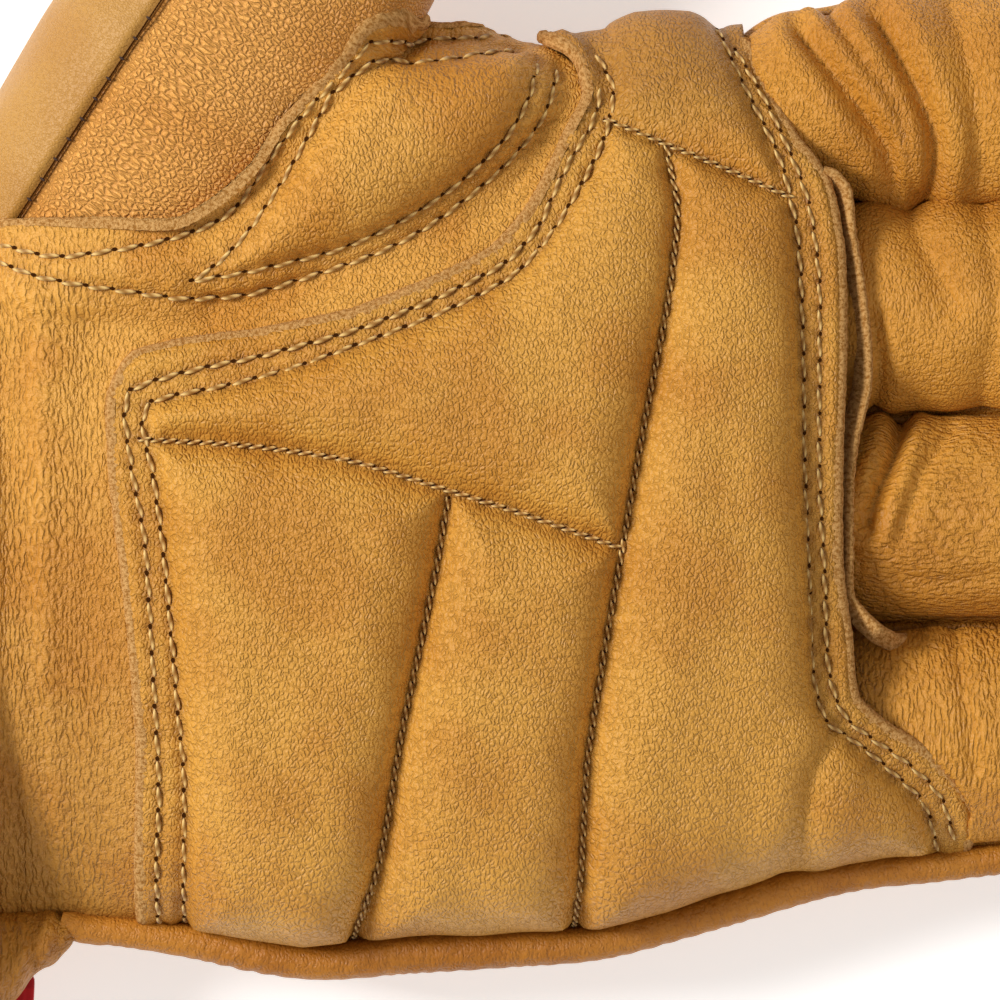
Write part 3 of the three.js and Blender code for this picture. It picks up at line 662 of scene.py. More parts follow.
# %% Cut the patch and raise its pads
PATCH_SIDE_X = (5.6, 11, 17, 24, 31)
PATCH_SIDE_IN = 0.6
WELT_DROP = {"depth": 0.9, "reach": 4}
EDGE_DROP = {"depth": 0.35, "reach": 0.8}
EDGE_CURL = {"height": 1.1, "from_y": 34, "over": 10, "inside": 0.5}
LEAST_LIFT = 0.5
side_top = [(x, np.interp(x, COLUMNS, S_RADIAL) - PATCH_SIDE_IN) for x in PATCH_SIDE_X]
thumb_edge, finger_edge, welt_edge = (
    unrolled(smooth_line(line, EDGE_STEP)) for line in (PATCH_THUMB_EDGE, PATCH_FINGER_EDGE, PATCH_WELT_EDGE)
)
patch_outline = np.vstack([thumb_edge, side_top, finger_edge, welt_edge])


def patch_lift(x, s):
    """How far the patch stands off the palm's skin: foam and waves, less its grooves, folds and edges."""
    y = read_map(MAP_Y, x, s)
    edge = distance_to([PATCH_THUMB_EDGE, PATCH_FINGER_EDGE], x, y)
    waves = HIDE_WAVES * wobble(x, s, size=9, seed=3) * fade_in(edge, 0, 6)
    waves -= WELT_DROP["depth"] * bell(distance_to([PATCH_WELT_EDGE], x, y), WELT_DROP["reach"])
    curl = EDGE_CURL["height"] * fade_in(y, EDGE_CURL["from_y"], EDGE_CURL["over"])
    curl *= bell(distance_to([PATCH_THUMB_EDGE], x, y) - EDGE_CURL["inside"], 1.0)
    low = row_grooves(PATCH_ROWS, x, y, **GROOVE) + fold_depths(PATCH_FOLDS, x, y)
    lift = PATCH_LIFT + pad_heights(x, y) - low
    return np.maximum(lift + waves + curl - EDGE_DROP["depth"] * bell(edge, EDGE_DROP["reach"]), LEAST_LIFT)


bm, x, s = cut_grid(patch_outline)
y = read_map(MAP_Y, x, s)
# Painted shade: the patch is darkened in the grooves beside its stitch rows, near the welt, and on its upper
# side, which bends away over the side of the hand.
rows_painted_shade = 0.85 * row_grooves(PATCH_ROWS, x, y) ** 2.4
welt_painted_shade = 0.3 * bell(distance_to([PATCH_WELT_EDGE], x, y), 6)
side_painted_shade = 0.5 * fade_in(y, 43, 8)
patch_painted_shade = np.maximum(rows_painted_shade, np.maximum(welt_painted_shade, side_painted_shade))
patch_creases = 0.25 * np.clip(wobble(x, s, size=30, seed=5), 0, 1)
patch = finish_piece("palm_patch_leather", bm, on_palm(x, s, patch_lift(x, s)), (x, s),
                     (patch_creases, 0, patch_painted_shade), PATCH_HIDE, "palm_patch")

# %% [markdown]
# ## The palm panel
# The palm panel reaches from the wrist to the finger bases, and over the thumb's root, where its edge is
# left raw. Only a narrow margin of it runs under the patch. At the wrist the hide is squeezed into long
# creases. It is cut in the same map as the patch, so that the two lie on one another without a gap.

# %% Cut the palm panel
HEEL_DROP = 4.5
BALL_PUFF = {"height": 1.6, "over": 7}
WRIST_RIPPLE = {"height": 0.12, "pitch": 3.6}
THUMB_CLEARANCE = 1.5
MOST_PULLED = 5
PULL_REACH = 4
PANEL_SIDE_X = (4, 12, 20, 28)
PANEL_SIDE_IN = 1.0
PANEL_FINGER_LINE = [
    (29, 56), (34.4, 45), (38.6, 38), (40.2, 32), (40.5, 19.5), (40, 5.4), (40.1, -9), (41.2, -17),
    (42.4, -26), (46, -30), (51, -33.6), (55, -37.6), (57, -42)]
panel_side = [(x, np.interp(x, COLUMNS, S_RADIAL) - PANEL_SIDE_IN) for x in PANEL_SIDE_X]
panel_low = [(x, np.interp(x, COLUMNS, S_ULNAR) + PANEL_SIDE_IN) for x in np.linspace(57, -65.5, 90)]
panel_top, panel_end = (
    unrolled(smooth_line(line, EDGE_STEP)) for line in (THUMB_RAW_EDGE, PANEL_FINGER_LINE)
)
panel_outline = np.vstack([panel_top, panel_side, panel_end, panel_low])


def panel_lift(x, s):
    """How far the palm stands off its skin. Towards the wrist, its raw edge is pulled down to the thumb."""
    y = read_map(MAP_Y, x, s)
    ball = fade_in(distance_to([THUMB_INNER_ROW, BALL_OUTER_ROW], x, y), 0, BALL_PUFF["over"])
    in_ball = inside(THUMB_INNER_ROW + BALL_OUTER_ROW[::-1], x, y)
    puff = np.where(in_ball, BALL_PUFF["height"] * np.sin(ball * QUARTER), 0)
    low = row_grooves(PALM_ROWS, x, y, **GROOVE) + fold_depths(PALM_FOLDS, x, y)
    phase = x * math.tau / WRIST_RIPPLE["pitch"] + 2.0 * wobble(x, s, size=26, seed=8) + s * 0.05
    ripples = WRIST_RIPPLE["height"] * fade_in(-x, 46, 14) * np.sin(phase)
    lift = LEATHER + puff + ripples + HIDE_WAVES * wobble(x, s, size=15, seed=12) - low
    over_thumb = read_map(MAP_Z, x, s) + lift - thumb_height(x, y) - THUMB_CLEARANCE
    pull = np.clip(over_thumb, 0, MOST_PULLED) * fade_in(-x, 9, 5)
    return lift - pull * bell(distance_to([THUMB_RAW_EDGE], x, y), PULL_REACH)


bm, x, s = cut_grid(panel_outline)
y = read_map(MAP_Y, x, s)
under_patch = inside(np.vstack([PATCH_THUMB_EDGE, PATCH_FINGER_EDGE, PATCH_WELT_EDGE]), x, y)
panel_points = on_palm(x, s, np.where(under_patch, 0.0, panel_lift(x, s)))
panel_points[:, 2] -= HEEL_DROP * fade_in(-x, 43, 14) * fade_in(-y, 16, 32) ** 1.5
# Painted shade: the panel is darkened at its heel towards the lower left, and in the grooves beside its
# stitch rows.
heel_painted_shade = 0.45 * fade_in(-x, 36, 14) * fade_in(-y, -4, 50)
rows_painted_shade = 0.5 * row_grooves(PALM_ROWS, x, y) ** 3
wrist_creases = fade_in(-x, 40, 12) * np.clip(0.8 + 0.5 * wobble(x, s, size=24, seed=4), 0, 1)
ball_creases = 0.7 * fade_in(y, 40, 12) * np.clip(1 - np.abs(x + 10) / 16, 0, 1)
along_creases = 0.5 * np.clip(wobble(x, s, size=34, seed=9), 0, 1) * fade_in(x, -40, 10)
across_creases = np.maximum(wrist_creases, ball_creases)
finish_piece("palm_panel_leather", bm, panel_points, (x, s),
             (across_creases, along_creases, np.maximum(heel_painted_shade, rows_painted_shade)), PALM_HIDE,
             "palm_panel")

# %% [markdown]
# ## Raw edges
# Where the leather is cut and not turned in, its edge shows the pale fibres inside. Each edge is a narrow
# strip that rolls down from the top of the leather, roughened by a few tenths of a millimetre. A bevel on
# the panel would be quicker, but it could not carry a material with its own fuzz.

# %% The raw edge material and strips
def raw_edge_material():
    """Cut leather fibres: pale and matt, with a fine fuzz about half a millimetre wide."""
    material, shader, node = new_material("raw cut leather", 0.95, 0.15)
    hide = node("UVMap", uv_map="hide")[0]
    fibres = {"Vector": hide, "Scale": 2.2, "Detail": 5.0, "Roughness": 0.75}
    fuzz = node("TexNoise", fibres, noise_dimensions="2D")["Fac"]
    pale = node("MapRange", {0: fuzz, 1: 0.35, 2: 0.62}, interpolation_type="SMOOTHSTEP")[0]
    colour = node("Mix", {0: pale, 6: linear("#a06a2c"), 7: linear("#d9a766")}, data_type="RGBA")[2]
    link_surface(node, shader, colour, fuzz, strength=1.0, depth=0.25)
    return material


RAW_EDGE = raw_edge_material()
EDGE_PROFILE = {"out": [-0.5, 0.1, 0.65, 0.95, 1.0, 0.7], "down": [0.1, 0.0, 0.2, 0.6, 1.25, 1.7]}
STRIP_STEP = 0.4
STRIP_GAP = 0.05
FRAY_OUT = 0.12
FRAY_DOWN = 0.07
FRAY_STRETCH = 3


def strip_grid(path, profile):
    """A grid along a path: its points' places on the path, the path's left there, and the profile's rows."""
    out, down = profile.values()
    bm, u, v = grid_mesh(len(path) - 1, len(out) - 1)
    at, row = u * (len(path) - 1), v * (len(out) - 1)
    ahead = np.gradient(path, axis=0)
    ahead /= np.linalg.norm(ahead, axis=1, keepdims=True)
    lines = (*path.T, -ahead[:, 1], ahead[:, 0])
    places = [np.interp(at, np.arange(len(path)), line) for line in lines]
    rows = [np.interp(row, np.arange(len(out)), column) for column in (out, down)]
    return bm, at, row, places, rows


def raw_strip(name, line, lift_of):
    """A roughened strip along a cut edge, which faces left of the line."""
    bm, at, row, places, (out, down) = strip_grid(unrolled(smooth_line(line, STRIP_STEP)), EDGE_PROFILE)
    x, s, left_x, left_s = places
    fray_x, fray_s = x * FRAY_STRETCH, s * FRAY_STRETCH
    out = out + FRAY_OUT * wobble(fray_x, fray_s + row, size=3.0, seed=21)
    down = down + FRAY_DOWN * wobble(fray_x + 9, fray_s, size=2.4, seed=22)
    lift = np.maximum(lift_of(x, s) - down, STRIP_GAP) + STRIP_GAP
    points = on_palm(x + out * left_x, s + out * left_s, lift)
    finish_piece(name, bm, points, (at * STRIP_STEP, row * 0.5), (0, 0, 0), RAW_EDGE, wall=0)


raw_strip("patch_edge_thumb_side", [(-45.1, -52.2)] + PATCH_THUMB_EDGE[1:], patch_lift)
raw_strip("patch_edge_finger_side", PATCH_FINGER_EDGE, patch_lift)
raw_strip("palm_edge_over_thumb", THUMB_RAW_EDGE, panel_lift)

# %% [markdown]
# ## Thread
# The seams are sewn with a thick bonded thread, two plies twisted together. Each stitch is a short arched
# bead that dives into a needle hole at both ends, and the shade inside each hole is painted as a dark disc.
# One bead is made from bmesh's sphere and repeated in one mesh, because hundreds of separate objects would
# be slow. The quilting is a rope of short beads.

# %% Thread, needle holes and their materials
STITCH_LENGTH = 2.75
BEAD_DIVE = 0.55
HOLE_HALVES = (0.4, 0.28)
HOLE_LIFT = 0.1
HOLE_ASIDE = 0.12


def thread_material():
    """Bonded twisted thread: straw-gold and satin. Its plies' ridges are drawn 2 mm apart, to show, with a
    painted highlight on each ridge and painted shade between them.
    """
    material, shader, node = new_material("bonded thread", 0.55, 0.4, 0.2)
    hide = node("UVMap", uv_map="hide")[0]
    twist = {"Vector": hide, "Scale": 0.3, "Distortion": 0.5, "Detail": 1.0}
    plies = node("TexWave", twist, bands_direction="DIAGONAL")["Fac"]
    # Painted highlight and painted shade: the colour is pale on the plies' ridges and brown between them.
    colour = node("Mix", {0: plies, 6: linear("#9c6c27"), 7: linear("#e8c277")}, data_type="RGBA")[2]
    link_surface(node, shader, colour, plies, strength=0.9, depth=0.16)
    return material


THREAD = thread_material()
# Painted shade: each needle hole and the thumb's seam groove are dark matt discs and beads that stand for the
# shade inside them.
HOLLOW_SHADE = new_material("needle hole", 1.0, 0.0, colour="#3a1f0b")[0]
DARK_THREAD = new_material("dark seam thread", 0.8, 0.5, colour="#341a08")[0]


def as_template(bm):
    """The points and faces of a small shape that is repeated."""
    points = np.array([vert.co for vert in bm.verts])
    faces = [[vert.index for vert in face.verts] for face in bm.faces]
    bm.free()
    return points, faces


bm = bmesh.new()
bmesh.ops.create_uvsphere(bm, u_segments=8, v_segments=7, radius=1)
sphere, bead_faces = as_template(bm)
bead = sphere[:, [2, 0, 1]]
bead[:, 2] -= BEAD_DIVE * bead[:, 0] ** 4
BEAD = (bead, bead_faces)
BEAD_HIDE = np.stack([bead[:, 0] * STITCH_LENGTH / 2, np.arctan2(bead[:, 1], bead[:, 2] + 0.3) * 0.4], -1)
bm = bmesh.new()
bmesh.ops.create_circle(bm, cap_ends=True, segments=10, radius=1)
DISC = as_template(bm)


def repeated(name, template, frames, hide, material):
    """Joins many small copies of a template into one piece. A frame is an origin and three axes."""
    shape, faces = template
    points = np.concatenate([origin + shape @ axes for origin, axes in frames])
    all_faces = [[i + k * len(shape) for i in face] for k in range(len(frames)) for face in faces]
    mesh = bpy.data.meshes.new(name)
    mesh.from_pydata(((points + SHIFT) * MM).tolist(), [], all_faces)
    store_hide(mesh, np.tile(hide, (len(frames), 1)))
    sew_on(name, mesh, material)


def read_line(where, run, line):
    return np.array([np.interp(where, run, column) for column in line.T])


def sew(name, rows, proud=0.75, hole_size=0.9, pitch_wanted=STITCH_PITCH, gap=0.3, lay=0.12, radius=0.3):
    """Sews beads and holes along rows. A row is points in space with the leather's normals."""
    beads, holes = [], []
    for points, normals in rows:
        run = run_along(points)
        count = max(1, int(round(run[-1] / pitch_wanted)))
        pitch = run[-1] / count
        for k in range(count):
            start, end = (read_line(k * pitch + d, run, points) for d in (gap, pitch - gap))
            normal = read_line((k + 0.5) * pitch, run, normals)
            long = np.linalg.norm(end - start)
            ahead = (end - start) / long
            normal -= ahead * (normal @ ahead)
            normal /= np.linalg.norm(normal)
            side = np.cross(normal, ahead)
            middle = (start + end) / 2 + normal * radius * proud
            slanted = (ahead + side * lay) * long / 2
            beads.append((middle, np.array([slanted, side * radius, normal * radius])))
            hole = read_line(k * pitch, run, points) + normal * HOLE_LIFT + side * HOLE_ASIDE
            halves = (HOLE_HALVES[0] * hole_size, HOLE_HALVES[1] * hole_size)
            holes.append((hole, np.array([ahead * halves[0], side * halves[1], normal])))
    repeated(f"{name}_thread", BEAD, beads, BEAD_HIDE, THREAD)
    repeated(f"{name}_needle_hole_shade", DISC, holes, DISC[0][:, :2], HOLLOW_SHADE)


def palm_row(line, lift_of):
    x, s = unrolled(smooth_line(line, 0.5)).T
    return on_palm(x, s, lift_of(x, s)), read_map(MAP_NORMAL, x, s)


sew("patch_edge", [palm_row(row, patch_lift) for row in PATCH_ROWS[:2]])
sew("finger_edge", [palm_row(row, patch_lift) for row in PATCH_ROWS[2:4]],
    proud=0.8, hole_size=0.75, radius=0.26)
sew("quilting", [palm_row(row, patch_lift) for row in QUILT_ROWS], proud=2.3, hole_size=0.6,
    pitch_wanted=1.6, gap=-0.15, lay=0.32, radius=0.21)
sew("thumb_root", [palm_row(row, panel_lift) for row in PALM_ROWS])

# %% [markdown]
# ## The thumb
# The thumb is a tube of two hides. Its front is a coarsely pebbled leather for grip, its back is smooth,
# and the two are sewn edge to edge along the thumb's outer side, in thread so thin and dark that it reads
# as a line. Each hide is a grid wrapped round the thumb's table, and dips a little where it meets the
# other.

# %% Wrap the thumb
SEAM_ACROSS = 8.0
SEAM_DIP = 0.9
SEAM_DARKENING = 0.7
THUMB_WAVES = 0.25
THUMB_LOWEST = 0.3
THUMB_ROUND = 18
THUMB_FROM, THUMB_TO = -36, 81
THUMB_GRID = (240, 120)
THUMB_FOLDS = [
    {"along": 33, "width": 3.0, "depth": 0.9},
    {"along": 38, "width": 2.0, "depth": 0.7},
    {"along": 8, "width": 3.5, "depth": 0.5},
]


def thumb_place(along, angle):
    half, rise, z = read_table(THUMB, along, "half rise z")
    across = half * signed_power(np.cos(angle), ROUND)
    up = rise * signed_power(np.sin(angle), ROUND)
    x = THUMB_START[0] + along * math.cos(THUMB_HEADING) + across * math.sin(THUMB_HEADING)
    y = THUMB_START[1] + along * math.sin(THUMB_HEADING) - across * math.cos(THUMB_HEADING)
    return np.stack([x, y, np.maximum(z + up, THUMB_LOWEST)], -1)


def seam_angle(along):
    """Where the two hides meet, at the same distance from the thumb's middle all along it."""
    half = np.maximum(read_table(THUMB, along, "half")[0], SEAM_ACROSS)
    return np.arccos(-np.minimum(1, SEAM_ACROSS / half) ** (1 / ROUND))


near_end = np.linspace(70, THUMB_TO, 400)
SEAM_TO = near_end[read_table(THUMB, near_end, "half")[0] > SEAM_ACROSS][-1]


def thumb_panel(name, front, material, node):
    bm, u, v = grid_mesh(*THUMB_GRID)
    along = THUMB_FROM + ((THUMB_TO if front else SEAM_TO) - THUMB_FROM) * np.sin(u * QUARTER)
    limit = seam_angle(along)
    angle = (2 * v - 1) * limit if front else limit + v * (math.tau - 2 * limit)
    points = thumb_place(along, angle)
    normals = surface_normals(thumb_place, along, angle)
    outward = np.sign((normals * (points - thumb_place(along, angle + math.pi))).sum(1))
    half = read_table(THUMB, along, "half")[0]
    full = fade_in(half, 0, 8)
    edge = np.minimum(v, 1 - v) * half * 3
    lift = THUMB_WAVES * wobble(along, angle * THUMB_ROUND, size=14, seed=31)
    lift -= SEAM_DIP * bell(edge, 1) * full
    for fold in THUMB_FOLDS:
        lift -= fold["depth"] * bell(along - fold["along"] + 2 * np.sin(angle), fold["width"])
    points += normals * (outward * lift)[:, None]
    # The dye is darker along the seam, where the two hides dip.
    darkened = SEAM_DARKENING * bell(edge, 0.6) * full**2
    finish_piece(name, bm, points, (along, angle * THUMB_ROUND), (0.1, 0, darkened), material, node)


thumb_panel("thumb_front_leather", True, PEBBLED_HIDE, "thumb_front")
thumb_panel("thumb_back_leather", False, THUMB_HIDE, "thumb_back")

# %% The fine dark thread that closes the thumb's side seam
SEAM_PITCH = 3.0
across = np.array([math.sin(THUMB_HEADING), -math.cos(THUMB_HEADING), 0.25])
ahead = np.array([math.cos(THUMB_HEADING), math.sin(THUMB_HEADING), 0.2])
SEAM_BEADS = {
    "thumb_side_thread": {"along": np.arange(-22, 70, SEAM_PITCH), "lift": 0.05, "across": 0.4, "ahead": 0.17,
                          "material": DARK_THREAD},
    # Painted shade in the seam's groove: a sunk row of dark beads.
    "thumb_side_groove_shade": {"along": np.linspace(-30, 76, 240), "lift": -0.25, "across": 0.11, "ahead": 0.3,
                          "material": HOLLOW_SHADE},
}
for name, bead_row in SEAM_BEADS.items():
    seam_points = thumb_place(bead_row["along"], seam_angle(bead_row["along"])) + (0, 0, bead_row["lift"])
    bead_axes = np.array([across * bead_row["across"], ahead * bead_row["ahead"], (0, 0, 0.2)])
    repeated(name, BEAD, [(point, bead_axes) for point in seam_points], BEAD_HIDE, bead_row["material"])

# %% [markdown]
# ## The fingers
# A finger has a front, a back and a gusset that runs round it between them, so that it is boxy and roomy.
# The fronts are folded hard where they leave the palm, and the neighbours press on one another there. Each
# panel is a grid wrapped round the same tube, which tucks its root under the palm's edge.

# %% The fingers' sizes, their profile and their folds
FINGERS = {
    "index": {
        "y": 50.4, "heading": 3, "base": 42, "tip": 119, "neck": 23, "wide": 26.2, "narrow": 24, "height": 26,
        "start": -0.15, "creased_across": 0.35, "creased_along": 0.1},
    "middle": {
        "y": 24.4, "heading": 0.9, "base": 44.5, "tip": 130.5, "neck": 26, "wide": 26.4, "narrow": 24.4,
        "height": 26.6, "start": -0.05, "creased_across": 0.3, "creased_along": 0.25},
    "ring": {
        "y": -2.1, "heading": 0.2, "base": 48.5, "tip": 124.5, "neck": 25, "wide": 25.2, "narrow": 23.6,
        "height": 26, "start": -0.1, "creased_across": 0.2, "creased_along": 0.8},
    "little": {
        "y": -30, "heading": 1.8, "base": 56, "tip": 109, "neck": 28.4, "wide": 27.6, "narrow": 23.6,
        "height": 25, "start": -0.27, "creased_across": 0.9, "creased_along": 0.1},
}
FINGER_PROFILE = {
    "share": [-0.3, 0, 0.1, 0.44, 0.57, 0.86, 0.93, 0.97, 0.99, 1.0],
    "width": ["neck"] * 2 + ["wide"] * 3 + ["narrow"] * 5,
    "dome": [0.9, 1, 1, 1, 1, 1, 0.9, 0.7, 0.48, 0.004],
}
FINGER_FOLDS = {
    "index": [
        {"line": [(38.1, 58.4), (42.1, 53.5), (45.8, 48.6), (48.6, 44.9), (50, 40.3)],
         "width": 1.0, "depth": 1.9},
        {"line": [(41.2, 61.3), (45, 56), (49.3, 50.6), (51.6, 44.6), (52.3, 39.5)],
         "width": 0.8, "depth": 1.1},
        {"line": [(48, 60), (52.9, 50.5), (54.6, 46.4), (54.7, 42.4), (54, 39.1)],
         "width": 1.2, "depth": 2.2},
        {"line": [(57, 62), (59.6, 52), (60.4, 42)], "width": 1.5, "depth": 0.9},
    ],
    "middle": [
        {"line": [(51.6, 39), (52.2, 34.6), (54.6, 29.3), (57, 24.4)], "width": 1.7, "depth": 1.1},
        {"line": [(47, 23), (47.9, 17), (47.4, 11)], "width": 0.9, "depth": 1.0},
        {"line": [(61, 37), (62.4, 25), (61, 13)], "width": 1.6, "depth": 0.7},
    ],
    "ring": [
        {"line": [(50.8, 9.3), (49.3, 4.3), (47.5, 0.6), (46.5, -3)], "width": 0.9, "depth": 1.9},
        {"line": [(57, 8), (53, 3), (50.5, -4)], "width": 0.8, "depth": 0.6},
        {"line": [(50, -9), (55, -9.8), (63, -9)], "width": 0.7, "depth": 0.4},
    ],
    "little": [{"line": [(57.5, -17), (58.6, -26), (60, -34)], "width": 0.8, "depth": 0.5}],
}
FINGER_PARTS = {
    "front": {"faces": QUARTER, "grid": (230, 60), "hide": FINGER_HIDE, "slot": "finger_leather"},
    "back": {"faces": -QUARTER, "grid": (150, 36), "hide": BACK_HIDE, "slot": "back_leather"},
    "inner": {"faces": 0.0, "grid": (150, 12), "hide": BACK_HIDE, "slot": "gusset_leather"},
    "outer": {"faces": math.pi, "grid": (150, 12), "hide": BACK_HIDE, "slot": "gusset_leather"},
}
FINGER_LIFT = 12.5
FINGER_CURL = 1.8
FINGER_ROUND = 13
FINGER_FULL = 1.1
FINGER_TAPER = 0.12
GUSSET_HALF = 5.0
GUSSET_DIP = 0.7
GUSSET_DARKENING = 0.6
KNUCKLE = {"shares": (0.48, 0.55), "depth": 0.8, "width": 0.022}
ROOT_SINK = {"depth": 2.4, "reach": 7}
ROOT_LINE = [(31, 75)] + PATCH_FINGER_EDGE
ROOT_AREA = ROOT_LINE + [(20, -60), (20, 75)]
TUCK = {"first": 1.4, "slope": 3, "deepest": 9}
print("fingers:", list(FINGERS), "folds:", sum(map(len, FINGER_FOLDS.values())))


# %% Wrap the fingers
def finger_rise(finger, share):
    dome = read_table(FINGER_PROFILE, share, "dome")[0]
    return finger["height"] / 2 * dome * (1 - FINGER_TAPER * np.maximum(0, share))


def finger_place(finger, share, angle):
    """A place on a finger: share runs from its base at 0 to its tip at 1, and angle runs round it."""
    long = finger["tip"] - finger["base"]
    dome = read_table(FINGER_PROFILE, share, "dome")[0]
    widths = [finger[width] for width in FINGER_PROFILE["width"]]
    half = curve_through(FINGER_PROFILE["share"], widths, share) / 2 * dome
    ahead = np.maximum(0, share)
    x = finger["base"] + long * share
    y = finger["y"] + (x - finger["base"]) * math.tan(math.radians(finger["heading"]))
    z = finger["height"] / 2 + FINGER_LIFT * ahead**FINGER_CURL
    slope = np.arctan(FINGER_LIFT / long * FINGER_CURL * ahead**0.8)
    across = half * signed_power(np.cos(angle), ROUND)
    up = finger_rise(finger, share) * signed_power(np.sin(angle), ROUND)
    return np.stack([x - up * np.sin(slope), y + across, np.maximum(z + up * np.cos(slope), 0.2)], -1)


def finger_panel(name, finger, part):
    """One panel of a finger: its front, its back, or one side of its gusset."""
    kind = FINGER_PARTS[part]
    bm, u, v = grid_mesh(*kind["grid"])
    on_gusset = part in ("inner", "outer")
    near_end = np.linspace(0.9, 1, 400)
    seam_to = near_end[finger_rise(finger, near_end) > GUSSET_HALF][-1]
    start = 0 if part == "back" else finger["start"]
    share = start + ((1 if on_gusset else seam_to) - start) * np.sin(u * QUARTER)
    rise = finger_rise(finger, share)
    seam = np.arcsin(np.minimum(1, GUSSET_HALF / np.maximum(rise, 0.1)) ** (1 / ROUND))
    limit = np.where(rise > GUSSET_HALF, seam, QUARTER)
    reach = limit if on_gusset else QUARTER - limit
    angle = kind["faces"] - (2 * v - 1) * reach
    place = partial(finger_place, finger)
    points = place(share, angle)
    normals = surface_normals(place, share, angle)
    outward = np.sign((normals * (points - place(share, angle + math.pi))).sum(1))
    outward[outward == 0] = 1
    edge = np.minimum(v, 1 - v) * 2 * reach * np.maximum(rise, 1)
    x, y = points[:, 0], points[:, 1]
    lift = FINGER_FULL + HIDE_WAVES * wobble(x, y, size=13, seed=41)
    lift -= GUSSET_DIP * bell(edge, 0.9) * fade_in(rise, 0, 6)
    if part == "front":
        lift -= fold_depths(FINGER_FOLDS[name], x, y)
        tuck = TUCK["first"] + TUCK["slope"] * distance_to([ROOT_LINE], x, y)
        lift -= np.where(inside(ROOT_AREA, x, y), np.minimum(TUCK["deepest"], tuck), 0)
        for knuckle in KNUCKLE["shares"]:
            lift -= KNUCKLE["depth"] * bell(share - knuckle, KNUCKLE["width"])
    from_root = (share - start) * (finger["tip"] - finger["base"])
    lift -= ROOT_SINK["depth"] * np.clip(1 - from_root / ROOT_SINK["reach"], 0, 1) ** 2
    points = points + normals * (outward * lift)[:, None]
    points[:, 2] = np.maximum(points[:, 2], 0.05)
    amount = 0.25 + 0.75 * fade_in(-share, -0.34, 0.2)
    # The dye is darker along the panel's edges, where the gusset seams dip.
    darkened = GUSSET_DARKENING * bell(edge, 0.5)
    creases = (finger["creased_across"] * amount, finger["creased_along"] * amount, darkened)
    ending = f"gusset_{part}" if on_gusset else f"{part}_leather"
    node = {"inner": f"{name}_gusset", "outer": None}.get(part, f"{name}_{part}")
    hide = (x, angle * FINGER_ROUND + finger["y"])
    finish_piece(f"{name}_{ending}", bm, points, hide, creases, kind["hide"], node)


for name, finger in FINGERS.items():
    for part in FINGER_PARTS:
        finger_panel(name, finger, part)

# %% [markdown]
# ## The back of the hand, the cuff and its binding
# The camera above doesn't see these, so they are finished plainly: one hide on the back of the hand, a cuff
# of two panels that is gathered at the wrist, and a folded binding round its mouth. They are grids wrapped
# round the sections, as the fingers are, and rest flat on the table.

# %% Wrap the back, the cuff and the binding
SEAM_DEGREES = 4.0
PALM_SIDE = (SEAM_DEGREES, 180 - SEAM_DEGREES)
BACK_SIDE = (180 - SEAM_DEGREES, 360 + SEAM_DEGREES)
RING_MIDDLE = (-6.0, 17.0)
SIDEWAYS_SHARE = 0.35
FLOOR_FADE = 3
SWEEP = {"from_y": 60, "over": 106}
RING_ROUND = {"waves": 30, "hide": 32}
RING_PANELS = {
    "back_leather": {
        "sections": BACK_SECTIONS, "x": (-62, 41.2), "angles": BACK_SIDE, "grid": (110, 120),
        "hide": BACK_HIDE, "slot": "back_leather", "node": "back_panel", "grow": 0.0, "wall": LEATHER},
    "cuff_palm_leather": {
        "sections": CUFF_SECTIONS, "x": (-123.5, -64), "angles": PALM_SIDE, "grid": (120, 120),
        "hide": CUFF_HIDE, "slot": "cuff_leather", "node": "cuff_palm_side", "grow": 0.0, "wall": LEATHER},
    "cuff_back_leather": {
        "sections": CUFF_SECTIONS, "x": (-123.5, -61.6), "angles": BACK_SIDE, "grid": (90, 100),
        "hide": CUFF_HIDE, "slot": "cuff_leather", "node": "cuff_back_side", "grow": 0.0, "wall": LEATHER},
    "cuff_binding_leather": {
        "sections": CUFF_SECTIONS, "x": (-125.6, -116), "angles": (0, 360), "grid": (12, 200),
        "hide": WELT_HIDE, "slot": "binding_leather", "node": "cuff_binding", "grow": 1.4, "wall": 4.6},
}


def ring_place(sections, x, angle):
    """A place round the hand or the cuff. The back's end is swept along the slanting finger bases."""
    ulnar, radial, waist = read_table(sections, x, "ulnar radial waist")
    high = read_table(sections, x, "top")[0] - waist if "top" in sections else waist
    sweep = read_table(sections, x, "sweep")[0] if "sweep" in sections else 0
    y = (radial + ulnar) / 2 + (radial - ulnar) / 2 * signed_power(np.cos(angle), ROUND)
    rise = np.where(np.sin(angle) > 0, high, waist + BELLY)
    z = waist + rise * signed_power(np.sin(angle), ROUND)
    swept = sweep * np.maximum(0, (SWEEP["from_y"] - y) / SWEEP["over"]) ** 2
    return np.stack([x + swept, y, np.maximum(z, 0)], -1)


